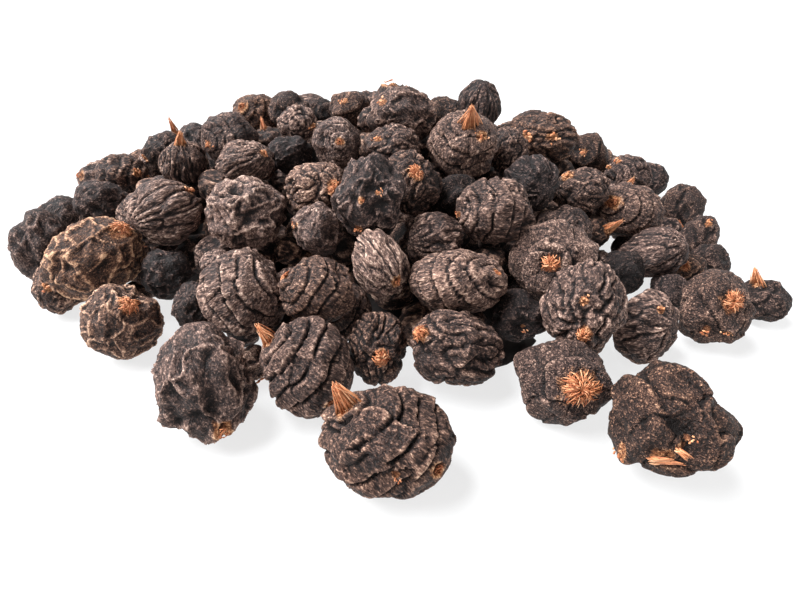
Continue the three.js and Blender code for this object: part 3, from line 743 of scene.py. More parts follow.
def plates(points, pole, seed, form):
    """How far across its plate each point is, 0 to 1, then its shard's slope and nearest edge.

    The plates lie in rings about the pole, and shards break them.
    """
    count = form["plates"] + form["more_plates"] * (seed % form["steps"]) / (form["steps"] - 1)
    angle = np.arccos(np.clip(points @ pole, -1, 1)) / math.pi
    step, lean, edge = shards(points, seed + 40)
    wander = form["wander"] * noise(points * PLATES["wander_scale"], seed)
    level = angle * count + wander + form["broken"] * step
    return level - np.floor(level), lean, edge


def ringed(points, pole, seed):
    """Thick angular plates across the nut, one over the next, with deep cracks between them."""
    form = RINGED
    part, lean, edge = plates(points, pole, seed, form)
    crack = grooves(np.minimum(part, 1 - part), form["crack_width"])
    depth = patchy(points, seed + 21, form["crack_scale"], form["crack_fade"])
    ragged = grooves(edge, form["edge_width"])
    ragged *= patchy(points, seed + 31, form["edge_scale"], form["edge_fade"])
    across = tip_to_tip(around(points, pole), form["fine_about"], form["fine_along"])
    across += form["bend"] * swirl(points * form["bend_scale"], seed + 4)
    fine = grooves(noise(across, seed + 30), form["fine_width"])
    height = (form["rise"] * (part - 0.5) - form["crack"] * crack) * depth
    return height + form["lean"] * lean - form["edge"] * ragged - form["fine"] * fine


def furrowed(points, pole, seed):
    """Furrows that run from tip to tip and meet there."""
    form = FURROWED
    turned = around(points, pole)
    bend = form["bend"] * swirl(points * form["bend_scale"], seed)
    broad = tip_to_tip(turned, form["broad_about"], form["broad_along"]) + bend
    fine = tip_to_tip(turned, form["fine_about"], form["fine_along"]) + bend
    depth = form["broad"] * grooves(noise(broad, seed + 5), form["broad_width"])
    depth += form["fine"] * grooves(noise(fine, seed + 8), form["fine_width"])
    return -ease(np.sin(turned[0] * math.pi), *form["tips"]) * depth


def wormy(points, pole, seed):
    """Winding rounded ridges, longer one way than the other."""
    form = WORMY
    stretch = points - form["shrunk"] * np.outer(points @ pole, pole)
    bent = stretch * form["scale"] + form["bend"] * swirl(points * form["bend_scale"], seed)
    broad = grooves(noise(bent, seed + 5), form["broad_width"])
    fine = grooves(noise(bent * form["fine_scale"], seed + 11), form["fine_width"])
    return -form["broad"] * broad - form["fine"] * fine


def cells(points, count, bend, seed):
    """How far inside its cell each point is, with a number of cells strewn over the nut."""
    centres = unit(np.random.default_rng(seed).normal(size=(count, 3)))
    bent = unit(points + bend * swirl(points * CELL_BEND_SCALE, seed))
    apart = np.sort(np.arccos(np.clip(bent @ centres.T, -1, 1)), axis=1)
    return apart[:, 1] - apart[:, 0]


def crumpled(points, pole, seed):
    """Broad hollow faces between sharp ridges, and smaller ones within them."""
    form = CRUMPLED
    broad = cells(points, form["broad_cells"], form["broad_bend"], seed)
    broad = np.clip(broad / form["broad_width"], 0, 1) ** form["broad_power"]
    broad_patch = patchy(points, seed + 3, form["broad_scale"], form["broad_fade"])
    fine = cells(points, form["fine_cells"], form["fine_bend"], seed + 50)
    fine = np.clip(fine / form["fine_width"], 0, 1) ** form["fine_power"]
    fine_patch = patchy(points, seed + 13, form["fine_scale"], form["fine_fade"])
    return -form["broad"] * broad * broad_patch - form["fine"] * fine * fine_patch


def netted(points, pole, seed):
    """A net of raised veins over dark hollows."""
    form = NETTED
    fine = ease(cells(points, form["fine_cells"], form["fine_bend"], seed), 0, form["fine_width"])
    broad = cells(points, form["broad_cells"], form["broad_bend"], seed + 70)
    return -form["fine"] * fine - form["broad"] * ease(broad, 0, form["broad_width"])


def folded(points, pole, seed):
    """A dull skin over broad flat faces, with a few large folds lapped over the next."""
    form = FOLDED
    part, lean, edge = plates(points, pole, seed, form)
    lap = ease(part, 0, form["lap_rise"]) * (1 - ease(part, form["lap_fall"], 1.0))
    flats = facets(points, seed + 70, form["flats"], form["flat_depth"])
    fine = grooves(noise(points * form["fine_scale"], seed + 9), form["fine_width"])
    height = form["lap"] * (lap - 1) + flats + form["lean"] * lean
    return height - form["edge"] * grooves(edge, form["edge_width"]) - form["fine"] * fine


FORMS = dict(ringed=ringed, furrowed=furrowed, wormy=wormy, crumpled=crumpled, netted=netted,
             folded=folded)
LEAST_FACING = 0.05
FLAT_SHARE = (0.3, 1.0)


def dented(points, index):
    """The shrunken form that the solid heap's nuts have: flattened patches with soft edges."""
    draw = seeded(DENT_SEED + index)
    radius = np.ones(len(points))
    for _ in range(DENTS):
        z = 2 * draw() - 1
        turn = 2 * math.pi * draw()
        flat = math.sqrt(1 - z * z)
        level = 1 - DENT_DEPTH["least"] - DENT_DEPTH["spread"] * draw()
        facing = points @ np.array([flat * math.cos(turn), flat * math.sin(turn), z])
        capped = level / np.maximum(facing, LEAST_FACING)
        blend = np.clip(0.5 + 0.5 * (capped - radius) / DENT_ROUNDING, 0, 1)
        radius = capped * (1 - blend) + radius * blend - DENT_ROUNDING * blend * (1 - blend)
    return radius


def facets(points, seed, count, depth):
    """Many small flats with sharp edges, as a height below the round form."""
    rng = np.random.default_rng(seed)
    height = np.zeros(len(points))
    for direction in unit(rng.normal(size=(count, 3))):
        level = 1 - depth * rng.uniform(*FLAT_SHARE)
        height = np.minimum(height, level / np.maximum(points @ direction, LEAST_FACING) - 1)
    return height


# How far the husk of a mark stains the skin, as a share of the mark's size, how that stain's edge
# fades, and how the skin dips or swells under the mark.
MARK_REACH = dict(spike=0.5, disc=0.6, navel=0.8, chip=0.8, flake=0.5)
STAIN_FADE = dict(rough=0.35, scale=5, inner=0.45, outer=1.15)
NAVEL_SKIN = dict(rim=0.035, rim_at=0.75, rim_width=0.35, pit=0.09, pit_width=0.5)
DISC_SKIN = dict(pit=0.04, pit_width=0.7)


def mean_half(nut):
    return float(np.mean(nut["half"]))


def husk_marks(points, nut, marks):
    """Where husk stains the skin, and how the skin dips or swells there."""
    stain = np.zeros(len(points))
    height = np.zeros(len(points))
    fade, navel_skin, disc_skin = STAIN_FADE, NAVEL_SKIN, DISC_SKIN
    for kind, direction, length in marks:
        off = np.arccos(np.clip(points @ direction, -1, 1)) * mean_half(nut)
        reach = length * MARK_REACH[kind]
        ragged = off * (1 + fade["rough"] * noise(points * fade["scale"], nut["seed"] + 60))
        stain = np.maximum(stain, 1 - ease(ragged, fade["inner"] * reach, fade["outer"] * reach))
        if kind == "navel":
            from_rim = off - navel_skin["rim_at"] * reach
            rim = navel_skin["rim"] * grooves(from_rim, navel_skin["rim_width"] * reach)
            height += rim - navel_skin["pit"] * grooves(off, navel_skin["pit_width"] * reach)
        if kind == "disc":
            height -= disc_skin["pit"] * grooves(off, disc_skin["pit_width"] * reach)
    return stain, height


# What every nut's skin has besides its form: flats, lumps and fine strands from tip to tip.
FLATS = (
    dict(count=15, depth=0.1, scale=2.5, apart=85),
    dict(count=34, depth=0.05, scale=3.5, apart=88),
)
FLAT_BEND = 0.1
LUMPS = (dict(height=0.03, scale=1.6, apart=90), dict(height=0.015, scale=3.4, apart=91))
STRANDS = dict(depth=0.008, width=0.25, about=7, along=5, bend=0.4, bend_scale=2)

# What counts as a crest or a crevice: how far the skin is above or below its own evened form.
# Crests are painted paler, partly as wear and partly as painted highlight; crevices are painted
# darker as painted shade.
EVENED = dict(least=2, cuts=14, broad=6)
CREST_WEAR_AND_HIGHLIGHT = (0.004, 0.02)
CREVICE_SHADE = dict(sharp=(0.006, 0.03), broad=(0.015, 0.07))

# How far the skin's strands are drawn out from pole to pole, from 0 to 1, and how far apart the
# pattern of one nut is from that of the next, in mm.
DRAWN_OUT = dict(ringed=0.62, furrowed=0.7, wormy=0.35, crumpled=0.35, netted=0.1, folded=0.0)
GRAIN_APART = 20


def skin_height(nut, points, dip):
    """The height of the skin's folds over the nut's shrunken form."""
    seed = nut["seed"]
    height = FORMS[nut["form"]](points, nut["pole"], seed) + dip
    for number, flats in enumerate(FLATS):
        bent = unit(points + FLAT_BEND * swirl(points * flats["scale"], seed + flats["apart"]))
        height += facets(bent, seed + number, flats["count"], flats["depth"])
    height += sum(lump["height"] * noise(points * lump["scale"], seed + lump["apart"]) for lump in LUMPS)
    return height


def strand_grooves(nut, points):
    """Fine grooves from tip to tip."""
    bend = STRANDS["bend"] * swirl(points * STRANDS["bend_scale"], nut["seed"] + 80)
    run = tip_to_tip(around(points, nut["pole"]), STRANDS["about"], STRANDS["along"]) + bend
    return STRANDS["depth"] * grooves(noise(run, nut["seed"] + 95), STRANDS["width"])


def skin_wear_and_shade(nut, blank, radius, body, stain):
    """What the skin's material reads at each point: painted shade in crevices, crests pale partly by
    wear and partly as painted highlight.
    """
    count = len(radius)
    passes = max(EVENED["least"], round((blank["cuts"] / EVENED["cuts"]) ** 2))
    sharp = radius - smoothed(radius, blank, passes)
    broad = radius - smoothed(radius, blank, passes * EVENED["broad"])
    grain = body - DRAWN_OUT[nut["form"]] * np.outer(body @ nut["pole"], nut["pole"])
    return dict(
        crest=ease(sharp, *CREST_WEAR_AND_HIGHLIGHT),
        crevice=np.maximum(ease(-sharp, *CREVICE_SHADE["sharp"]), ease(-broad, *CREVICE_SHADE["broad"])),
        stain=stain,
        pale=np.full(count, nut["pale"]),
        warm=np.full(count, nut["warm"]),
        grain=(grain + GRAIN_APART * nut["index"]) * MM,
    )


def nut_part(nut):
    """A nut's points, faces and wear, painted light and shade among it."""
    blank = BLANKS[nut["cuts"]]
    points = blank["points"]
    stain, dip = husk_marks(points, nut, nut["marks"])
    radius = dented(points, nut["index"]) + skin_height(nut, points, dip)
    body = points * (radius - strand_grooves(nut, points))[:, None] * nut["half"]
    placed = nut["middle"] + body @ nut["axes"]
    placed[:, 2] = np.maximum(placed[:, 2], 0)
    wear = skin_wear_and_shade(nut, blank, radius, body, stain)
    return dict(points=placed, quads=blank["quads"], wear=wear)


# ---- tufts and scraps of husk

# Each kind's own numbers: sizes and rises in mm, or as shares of the mark's size. tone: how pale
# a fibre is. rough: how far its points stray, in mm.
SPIKE = dict(count=60, steps=4, foot=0.24, crowd=0.62, oblong=1.7, outward=0.75, upward=0.7,
             stray=0.1, reach=(0.35, 1.0), reach_power=0.6, sunk=0.35, open_tip=0.16, belly=0.15,
             rough=0.03, width=(0.15, 0.27), full=1.05, taper=0.75, tone=(0.35, 1.0))
BRUSH = dict(count=50, more=24, steps=4, start=(0.0, 0.45), run=(0.3, 0.75), curl=0.3,
             curl_small=1.6, spread=(0.8, 1.2), rise=(0.1, 0.6), arch=0.85, inner=1.15,
             rise_share=0.4, rise_most=1.1, lift=0.04, sunk=0.2, rough=0.03, width=(0.14, 0.25),
             full=1.05, taper=0.6, tone=(0.1, 1.0))
STRIP = dict(count=16, steps=5, turn=(-0.5, 0.5), start=(-0.6, -0.2), run=(0.4, 1.0), half_width=0.16,
             splay=0.5, lift=0.12, stray=0.14, loose=0.1, width=(0.16, 0.34),
             taper=(0.4, 1.0, 1.0, 0.9, 0.3), tone=(0.3, 1.05))
CRUMBS = dict(count=7, spread=0.3, size=(0.15, 0.45), rough=0.45, rough_scale=2.6, long=2, wide=3.4,
              thick=0.13, tone=(0.3, 1.0))
NAVEL = dict(count=34, steps=5, swing=(0.3, 1.1), ring=(0.25, 0.8), rise=(-0.05, 0.3),
             width=(0.1, 0.2), ends=0.4, tone=(0.1, 0.8))
FIBRE_SIDES = 3
FIBRE_ASIDE = (0.37, 0.61, 0.7)
TUFT_ASIDE = (0.2, 0.9, -0.4)
NO_LENGTH = 1e-9


def fibres(paths, widths, tones):
    """Tapered fibres. paths: count x steps x 3, widths: count x steps, tones: one for each."""
    count, steps, _ = paths.shape
    run = unit(np.gradient(paths, axis=1) + NO_LENGTH)
    side, other = square_to(run, FIBRE_ASIDE)
    turns = np.arange(FIBRE_SIDES) * 2 * math.pi / FIBRE_SIDES
    ring = side[:, :, None] * np.cos(turns)[:, None] + other[:, :, None] * np.sin(turns)[:, None]
    points = (paths[:, :, None] + ring * widths[:, :, None, None] / 2).reshape(-1, 3)
    corner = np.arange(FIBRE_SIDES)
    following = (corner + 1) % FIBRE_SIDES
    start = np.arange(steps - 1)[:, None] * FIBRE_SIDES
    quads = np.stack([start + corner, start + following, start + FIBRE_SIDES + following,
                      start + FIBRE_SIDES + corner], axis=-1).reshape(-1, 4)
    ends = np.array([corner[::-1], corner + (steps - 1) * FIBRE_SIDES])
    shift = np.arange(count)[:, None, None] * steps * FIBRE_SIDES
    wear = dict(tone=np.repeat(tones, steps * FIBRE_SIDES))
    return dict(points=points, quads=(quads + shift).reshape(-1, 4),
                triangles=(ends + shift).reshape(-1, 3), wear=wear)


def surface_point(nut, directions):
    """Points on a nut's skin and the way out of it there."""
    radius = dented(directions, nut["index"])
    place = nut["middle"] + (directions * radius[:, None] * nut["half"]) @ nut["axes"]
    out = unit((directions / nut["half"]) @ nut["axes"])
    return place, out


def turned_about(swing, side, other):
    """The directions at some angles round a tuft's middle."""
    return np.cos(swing)[..., None] * side + np.sin(swing)[..., None] * other


def spike(nut, direction, length, rng):
    """A standing pointed tuft: fibres from a broad foot that close on one tip."""
    tuft = SPIKE
    count, steps = tuft["count"], tuft["steps"]
    side, other = square_to(direction, TUFT_ASIDE)
    spots = rng.normal(size=(count, 2)) * (tuft["foot"] * length / mean_half(nut)) * tuft["crowd"]
    spots[:, 0] *= tuft["oblong"]
    foot, out = surface_point(nut, unit(direction + spots[:, :1] * side + spots[:, 1:] * other))
    middle, way = surface_point(nut, direction[None])
    upward = np.array([0, 0, tuft["upward"]])
    lean = unit(tuft["outward"] * way[0] + upward + tuft["stray"] * rng.normal(size=3))
    tip = middle[0] + lean * length
    reach = rng.uniform(*tuft["reach"], count) ** tuft["reach_power"]
    even = np.linspace(0, 1, steps)[None]
    t = even[..., None] * reach[:, None, None]
    foot = foot - tuft["sunk"] * out
    tips = (tip + rng.normal(size=(count, 3)) * tuft["open_tip"])[:, None]
    straight = foot[:, None] * (1 - t) + tips * t
    belly = out[:, None] * (t * (1 - t)) * length * tuft["belly"]
    paths = straight + belly + rng.normal(size=(count, steps, 3)) * tuft["rough"]
    widths = rng.uniform(*tuft["width"], count)[:, None] * (tuft["full"] - tuft["taper"] * even)
    return [fibres(paths, widths, rng.uniform(*tuft["tone"], count))]


def brush(nut, direction, length, rng):
    """A flat round tuft: fibres that lie out over the skin from its middle, the inner ones raised."""
    tuft = BRUSH
    count, steps = int(tuft["count"] + tuft["more"] * length), tuft["steps"]
    side, other = square_to(direction, TUFT_ASIDE)
    turn = rng.uniform(0, 2 * math.pi, count)
    start = rng.uniform(*tuft["start"], count)
    end = np.minimum(1.0, start + rng.uniform(*tuft["run"], count))
    along = np.linspace(0, 1, steps)[None]
    t = along * (end - start)[:, None] + start[:, None]
    curl = tuft["curl"] + tuft["curl_small"] / length
    swing = turn[:, None] + rng.normal(size=(count, 1)) * curl * (t - start[:, None])
    share = t * length / 2 / mean_half(nut) * rng.uniform(*tuft["spread"], count)[:, None]
    offset = share[..., None] * turned_about(swing, side, other)
    place, out = surface_point(nut, unit(direction + offset).reshape(-1, 3))
    place, out = place.reshape(count, steps, 3), out.reshape(count, steps, 3)
    arch = np.sin(along * math.pi * tuft["arch"])
    rise = rng.uniform(*tuft["rise"], count)[:, None] * arch * (tuft["inner"] - t)
    rise = rise * min(length * tuft["rise_share"], tuft["rise_most"]) + tuft["lift"]
    rise[:, 0] -= tuft["sunk"]
    paths = place + out * rise[..., None] + rng.normal(size=(count, steps, 3)) * tuft["rough"]
    widths = rng.uniform(*tuft["width"], count)[:, None] * (tuft["full"] - tuft["taper"] * along)
    return [fibres(paths, widths, rng.uniform(*tuft["tone"], count))]


def strip(nut, direction, length, rng):
    """A ragged strip of straw that clings to the skin: a few long fibres side by side."""
    tuft = STRIP
    count, steps = tuft["count"], tuft["steps"]
    side, other = square_to(direction, TUFT_ASIDE)
    turn = rng.uniform(*tuft["turn"])
    along = math.cos(turn) * side + math.sin(turn) * other
    across = np.cross(direction, along)
    size = length / mean_half(nut)
    start = rng.uniform(*tuft["start"], count)[:, None]
    run = start + np.linspace(0, 1, steps)[None] * rng.uniform(*tuft["run"], count)[:, None]
    lanes = np.linspace(-tuft["half_width"], tuft["half_width"], count)[:, None]
    aside = lanes * (1 + tuft["splay"] * rng.normal(size=(count, 1)) * run)
    offset = size * (run[..., None] * along + aside[..., None] * across)
    place, out = surface_point(nut, unit(direction + offset).reshape(-1, 3))
    rise = tuft["lift"] + tuft["stray"] * rng.normal(size=(count, steps)) * np.abs(run)
    rise = rise + tuft["loose"] * rng.uniform(size=(count, 1))
    paths = (place + out * rise.reshape(-1, 1)).reshape(count, steps, 3)
    widths = rng.uniform(*tuft["width"], count)[:, None] * np.array(tuft["taper"])
    return [fibres(paths, widths, rng.uniform(*tuft["tone"], count))]


def crumbs(nut, direction, length, rng):
    """Small rough crumbs of husk that cling to the skin."""
    crumb = CRUMBS
    parts = []
    side, other = square_to(direction, TUFT_ASIDE)
    ball = CRUMB_BLANK["points"]
    for _ in range(crumb["count"]):
        away = rng.normal(size=2) * crumb["spread"] * length / mean_half(nut)
        place, out = surface_point(nut, unit(direction + away[0] * side + away[1] * other)[None])
        along = unit(np.cross(out[0], rng.normal(size=3)))
        across = np.cross(out[0], along)
        size = length * rng.uniform(*crumb["size"])
        ragged = 1 + crumb["rough"] * noise(ball * crumb["rough_scale"], int(rng.integers(1000)))
        half = np.array([size / crumb["long"], size / crumb["wide"], crumb["thick"]])
        points = place + (ball * ragged[:, None] * half) @ np.array([along, across, out[0]])
        wear = dict(tone=np.full(len(ball), rng.uniform(*crumb["tone"])))
        parts.append(dict(points=points, quads=CRUMB_BLANK["quads"], wear=wear))
    return parts


def navel(nut, direction, length, rng):
    """The curled scar where the nut hung: a low ring of short curled fibres."""
    tuft = NAVEL
    count, steps = tuft["count"], tuft["steps"]
    side, other = square_to(direction, TUFT_ASIDE)
    turn = rng.uniform(0, 2 * math.pi, count)
    even = np.linspace(0, 1, steps)
    swing = turn[:, None] + even[None] * rng.uniform(*tuft["swing"], count)[:, None]
    share = rng.uniform(*tuft["ring"], count)[:, None] * length / 2 / mean_half(nut)
    offset = share[..., None] * turned_about(swing, side, other)
    place, out = surface_point(nut, unit(direction + offset).reshape(-1, 3))
    rise = rng.uniform(*tuft["rise"], count)[:, None] * np.sin(even * math.pi)[None]
    paths = (place + out * rise.reshape(-1, 1)).reshape(count, steps, 3)
    widths = rng.uniform(*tuft["width"], count)[:, None] * np.ones((1, steps))
    widths[:, [0, -1]] *= tuft["ends"]
    return [fibres(paths, widths, rng.uniform(*tuft["tone"], count))]


HUSK_MAKERS = dict(spike=spike, disc=brush, navel=navel, chip=crumbs, flake=strip)


def husk_of(nut):
    """The loose husk at all of a nut's marks."""
    parts = []
    for number, (kind, direction, length) in enumerate(nut["marks"]):
        rng = np.random.default_rng(nut["seed"] * 10 + number)
        parts += HUSK_MAKERS[kind](nut, direction, length, rng)
    return parts


# ---- the looks of each nut

# What nuts that the picture doesn't show draw from. upward: how far up their poles tend, in mm
# against the way out from the heap's middle. mark: its size in mm.
FORM_DRAW = ["ringed", "crumpled", "furrowed", "wormy", "folded", "netted"]
MARK_DRAW = ["disc", "spike", "navel", "chip", "none", "none"]
DRAWN_LOOK = dict(seed=9000, upward=6.0, stray=0.55, pale=(0.25, 0.65), warm=(0.15, 0.75),
                  mark=(1.6, 3.2))
SKIN_SEED = dict(first=100, step=131)


def towards_picture(nut, right, down):
    """The direction, in the nut's own axes, that shows at a share of its half size."""
    toward = math.sqrt(max(0.0, 1 - right * right - down * down))
    return unit(nut["axes"] @ (np.array([right, down, -toward]) @ nut["view"]))


def dress_as_seen(nut, look):
    """Gives a nut that shows the form, pole, colour and marks that it has in the picture; its paleness
    is partly painted light and shade.
    """
    nut.update(form=look["form"], pale=look["pale"], warm=look["warm"])
    nut["pole"] = towards_picture(nut, *look["pole"])
    nut["marks"] = [(kind, towards_picture(nut, right, down), size)
                    for kind, right, down, size in look.get("marks", [])]
    width = PICTURE["distance"] * sum(nut["half"][:2]) / np.linalg.norm(nut["middle"] - EYE)
    nut["cuts"] = min(CUTS, key=lambda cuts: abs(cuts - CUTS_FOR_WIDTH * width))


def dress_by_draw(nut, layer, rng):
    """Gives a nut that the picture doesn't show a drawn form, pole, colour and mark."""
    nut["form"] = FORM_DRAW[int(rng.integers(len(FORM_DRAW)))]
    outward = nut["middle"] - np.array([HEAP_MIDDLE[0], CREST_DISTANCE, 0])
    outward = unit(outward + np.array([0, 0, DRAWN_LOOK["upward"]]))
    nut["pole"] = unit(nut["axes"] @ unit(outward + DRAWN_LOOK["stray"] * rng.normal(size=3)))
    nut["pale"] = rng.uniform(*DRAWN_LOOK["pale"])
    nut["warm"] = rng.uniform(*DRAWN_LOOK["warm"])
    kind = MARK_DRAW[int(rng.integers(len(MARK_DRAW)))]
    nut["marks"] = []
    if layer["husk"] and kind != "none":
        nut["marks"] = [(kind, nut["pole"], rng.uniform(*DRAWN_LOOK["mark"]))]
    nut["cuts"] = layer["cuts"]


def dress(nut, index):
    nut.update(index=index, seed=SKIN_SEED["first"] + SKIN_SEED["step"] * index)
    if "look" in nut:
        dress_as_seen(nut, nut["look"])
    else:
        dress_by_draw(nut, nut["layer"], np.random.default_rng(DRAWN_LOOK["seed"] + index))


# ---- materials

# Colours from dark to pale, each with its place from 0 to 1.
COOL_SKIN = [(0.0, (0.0035, 0.002, 0.002)), (0.25, (0.017, 0.0108, 0.0105)),
             (0.5, (0.082, 0.053, 0.047)), (0.75, (0.26, 0.18, 0.158)), (1.0, (0.6, 0.47, 0.41))]
WARM_SKIN = [(0.0, (0.0045, 0.002, 0.0014)), (0.25, (0.023, 0.011, 0.0078)),
             (0.5, (0.105, 0.052, 0.034)), (0.75, (0.34, 0.175, 0.105)), (1.0, (0.72, 0.45, 0.28))]
STAINED_SKIN = [(0.0, (0.03, 0.010, 0.005)), (0.4, (0.15, 0.052, 0.021)),
                (0.75, (0.42, 0.19, 0.085)), (1.0, (0.7, 0.43, 0.25))]
HUSK = [(0.0, (0.09, 0.022, 0.008)), (0.35, (0.34, 0.095, 0.034)), (0.7, (0.62, 0.25, 0.11)),
        (1.0, (0.84, 0.5, 0.29))]
# Painted shade: near-black colours for the core mound in the heap's depths.
DEEP_SHADE = [(0.3, (0.004, 0.003, 0.003)), (0.7, (0.02, 0.014, 0.012))]

# Each form's skin. speckle: how much paler its strands are; the crest number: how much paler
# its crests are, partly as wear and partly as painted highlight; bump: how high its finest
# wrinkles stand, in mm.
SKIN_LOOKS = dict(
    ringed=dict(speckle=0.22, crest_lightening=0.25, bump=0.45),
    furrowed=dict(speckle=0.22, crest_lightening=0.28, bump=0.45),
    wormy=dict(speckle=0.2, crest_lightening=0.28, bump=0.4),
    crumpled=dict(speckle=0.2, crest_lightening=0.32, bump=0.35),
    netted=dict(speckle=0.2, crest_lightening=0.5, bump=0.4),
    folded=dict(speckle=0.28, crest_lightening=0.2, bump=0.5),
)

# The skin's patterns, in bumps to the metre, and how each pattern and wear moves the colour,
# with painted shade in the crevices, painted highlight on the crests and a paleness that is partly
# painted light and shade. A pattern lies about a middle value, which the start makes up for, as
# it does for usual paleness.
SKIN_STRANDS = {"Scale": 5000, "Detail": 2, "Roughness": 0.55}
SKIN_WRINKLES = {"Scale": 2500, "Detail": 3, "Roughness": 0.65, "Distortion": 0.2}
SKIN_PATCHES = {"Scale": 330, "Detail": 5, "Roughness": 0.65}
STRAND_LINE = {"From Min": 0.53, "From Max": 0.68}
SKIN_ROUGHNESS = {"From Min": 0.35, "From Max": 0.65, "To Min": 0.52, "To Max": 0.85}
SKIN_SHADE = dict(start=0.31, crevice=-0.42, wrinkle=1.35, patch=0.8, pale=0.7)
USUAL_PALE = 0.45
PATTERN_MIDDLE = 0.5
STAIN_TONE = dict(start=-0.35, line=0.25, wrinkle=1.6, crest=0.3, crevice=-0.3)
STAIN_EDGE = dict(start=-1.75, stain=1.9, wrinkle=1.6, strand=0.8)
SKIN_RELIEF = dict(start=0.0, wrinkle=1.0, strand=0.35)
SKIN_GLOSS = 0.25
HUSK_STREAK = {"Scale": 1800, "Detail": 2}
HUSK_TONE = dict(start=-0.12, tone=0.75, streak=0.5)
HUSK_FINISH = dict(roughness=0.62, gloss=0.4, strength=0.5, bump=0.05)
CORE_PATCH = {"Scale": 600, "Detail": 4}
CORE_FINISH = dict(roughness=0.95, strength=0.6, bump=0.4)


def node_tree(name):
    material = bpy.data.materials.new(name)
    material.use_nodes = True
    return material, material.node_tree


def add_node(tree, kind, values=None, **settings):
    """A node with its settings and, by socket name or number, its values or what feeds it."""
    node = tree.nodes.new("ShaderNode" + kind)
    for key, value in settings.items():
        setattr(node, key, value)
    for key, value in (values or {}).items():
        if isinstance(value, bpy.types.NodeSocket):
            tree.links.new(value, node.inputs[key])
        else:
            node.inputs[key].default_value = value
    return node


def read_wear(tree, name):
    return add_node(tree, "Attribute", attribute_name=name, attribute_type="GEOMETRY")


def object_place(tree):
    return add_node(tree, "TexCoord").outputs["Object"]


def pattern(tree, place, values):
    return add_node(tree, "TexNoise", {"Vector": place, **values}).outputs["Fac"]


def fitted(tree, value, limits):
    """A value moved from one range to another."""
    return add_node(tree, "MapRange", {"Value": value, **limits}).outputs[0]


def weighed(tree, weights, **values):
    """The start that is given among the weights, plus each value times its weight."""
    total = weights["start"]
    for name, value in values.items():
        terms = {0: value, 1: weights[name], 2: total}
        total = add_node(tree, "Math", terms, operation="MULTIPLY_ADD").outputs[0]
    return total


def ramp(tree, factor, stops):
    node = add_node(tree, "ValToRGB", {0: factor})
    elements = node.color_ramp.elements
    while len(elements) < len(stops):
        elements.new(0.5)
    for element, (position, colour) in zip(elements, stops):
        element.position = position
        element.color = (*colour, 1)
    return node.outputs["Color"]


def mixed(tree, factor, first, second):
    """One colour or the other. The colour mix has its sockets at these numbers."""
    return add_node(tree, "Mix", {0: factor, 6: first, 7: second}, data_type="RGBA").outputs[2]


def add_relief(tree, height, strength, bump):
    """Gives the shader a fine relief, bump mm high."""
    raised = add_node(tree, "Bump", {"Height": height, "Strength": strength, "Distance": bump * MM})
    tree.links.new(raised.outputs[0], tree.nodes["Principled BSDF"].inputs["Normal"])


def skin_material(name, speckle, crest_lightening, bump):
    """Dull dark leathery skin: fine tan strands, crests paled by wear and painted highlight, crevices
    darkened by painted shade, and husk stains.
    """
    material, tree = node_tree(name)
    shader = tree.nodes["Principled BSDF"]
    crest, crevice, stain, pale, warm = (read_wear(tree, key).outputs["Fac"]
                                         for key in ("crest", "crevice", "stain", "pale", "warm"))
    grain = read_wear(tree, "grain").outputs["Vector"]
    strand = pattern(tree, grain, SKIN_STRANDS)
    wrinkle = pattern(tree, grain, SKIN_WRINKLES)
    patch = pattern(tree, object_place(tree), SKIN_PATCHES)
    line = fitted(tree, strand, STRAND_LINE)
    # Painted shade darkens the crevices; the crests are painted paler, partly as wear and partly as
    # painted highlight; the pale value is partly painted light and shade.
    weights = dict(SKIN_SHADE, crest=crest_lightening, line=speckle)
    weights["start"] -= PATTERN_MIDDLE * (weights["wrinkle"] + weights["patch"])
    weights["start"] -= weights["pale"] * USUAL_PALE
    shade = weighed(tree, weights, crest=crest, crevice=crevice, line=line, wrinkle=wrinkle,
                    patch=patch, pale=pale)
    skin = mixed(tree, warm, ramp(tree, shade, COOL_SKIN), ramp(tree, shade, WARM_SKIN))
    # The husk stains too are painted paler on crests, partly as painted highlight, and darker in
    # crevices as painted shade.
    tone = weighed(tree, STAIN_TONE, line=line, wrinkle=wrinkle, crest=crest, crevice=crevice)
    edge = weighed(tree, STAIN_EDGE, stain=stain, wrinkle=wrinkle, strand=strand)
    covered = add_node(tree, "Math", {0: edge, 1: 1.0}, operation="MULTIPLY", use_clamp=True)
    colour = mixed(tree, covered.outputs[0], skin, ramp(tree, tone, STAINED_SKIN))
    tree.links.new(colour, shader.inputs["Base Color"])
    tree.links.new(fitted(tree, patch, SKIN_ROUGHNESS), shader.inputs["Roughness"])
    shader.inputs["Specular IOR Level"].default_value = SKIN_GLOSS
    add_relief(tree, weighed(tree, SKIN_RELIEF, wrinkle=wrinkle, strand=strand), 1.0, bump)
    return material


def husk_material():
    """Dry orange-brown fibre, each strand with its own tone."""
    material, tree = node_tree("husk_fibre")
    shader = tree.nodes["Principled BSDF"]
    tone = read_wear(tree, "tone").outputs["Fac"]
    streak = pattern(tree, object_place(tree), HUSK_STREAK)
    shade = weighed(tree, HUSK_TONE, tone=tone, streak=streak)
    tree.links.new(ramp(tree, shade, HUSK), shader.inputs["Base Color"])
    shader.inputs["Roughness"].default_value = HUSK_FINISH["roughness"]
    shader.inputs["Specular IOR Level"].default_value = HUSK_FINISH["gloss"]
    add_relief(tree, streak, HUSK_FINISH["strength"], HUSK_FINISH["bump"])
    return material


def core_material():
    """Painted shade: the near black of the heap's depths, where only shade falls."""
    material, tree = node_tree("deep_shade")
    shader = tree.nodes["Principled BSDF"]
    patch = pattern(tree, object_place(tree), CORE_PATCH)
    tree.links.new(ramp(tree, patch, DEEP_SHADE), shader.inputs["Base Color"])
    shader.inputs["Roughness"].default_value = CORE_FINISH["roughness"]
    add_relief(tree, patch, CORE_FINISH["strength"], CORE_FINISH["bump"])
    return material


# ---- the core under everything

CORE = dict(inset=24.0, sunk=10.0, least=1.0, window=0.22, lumps=1.2, lump_scale=6, lump_seed=3)


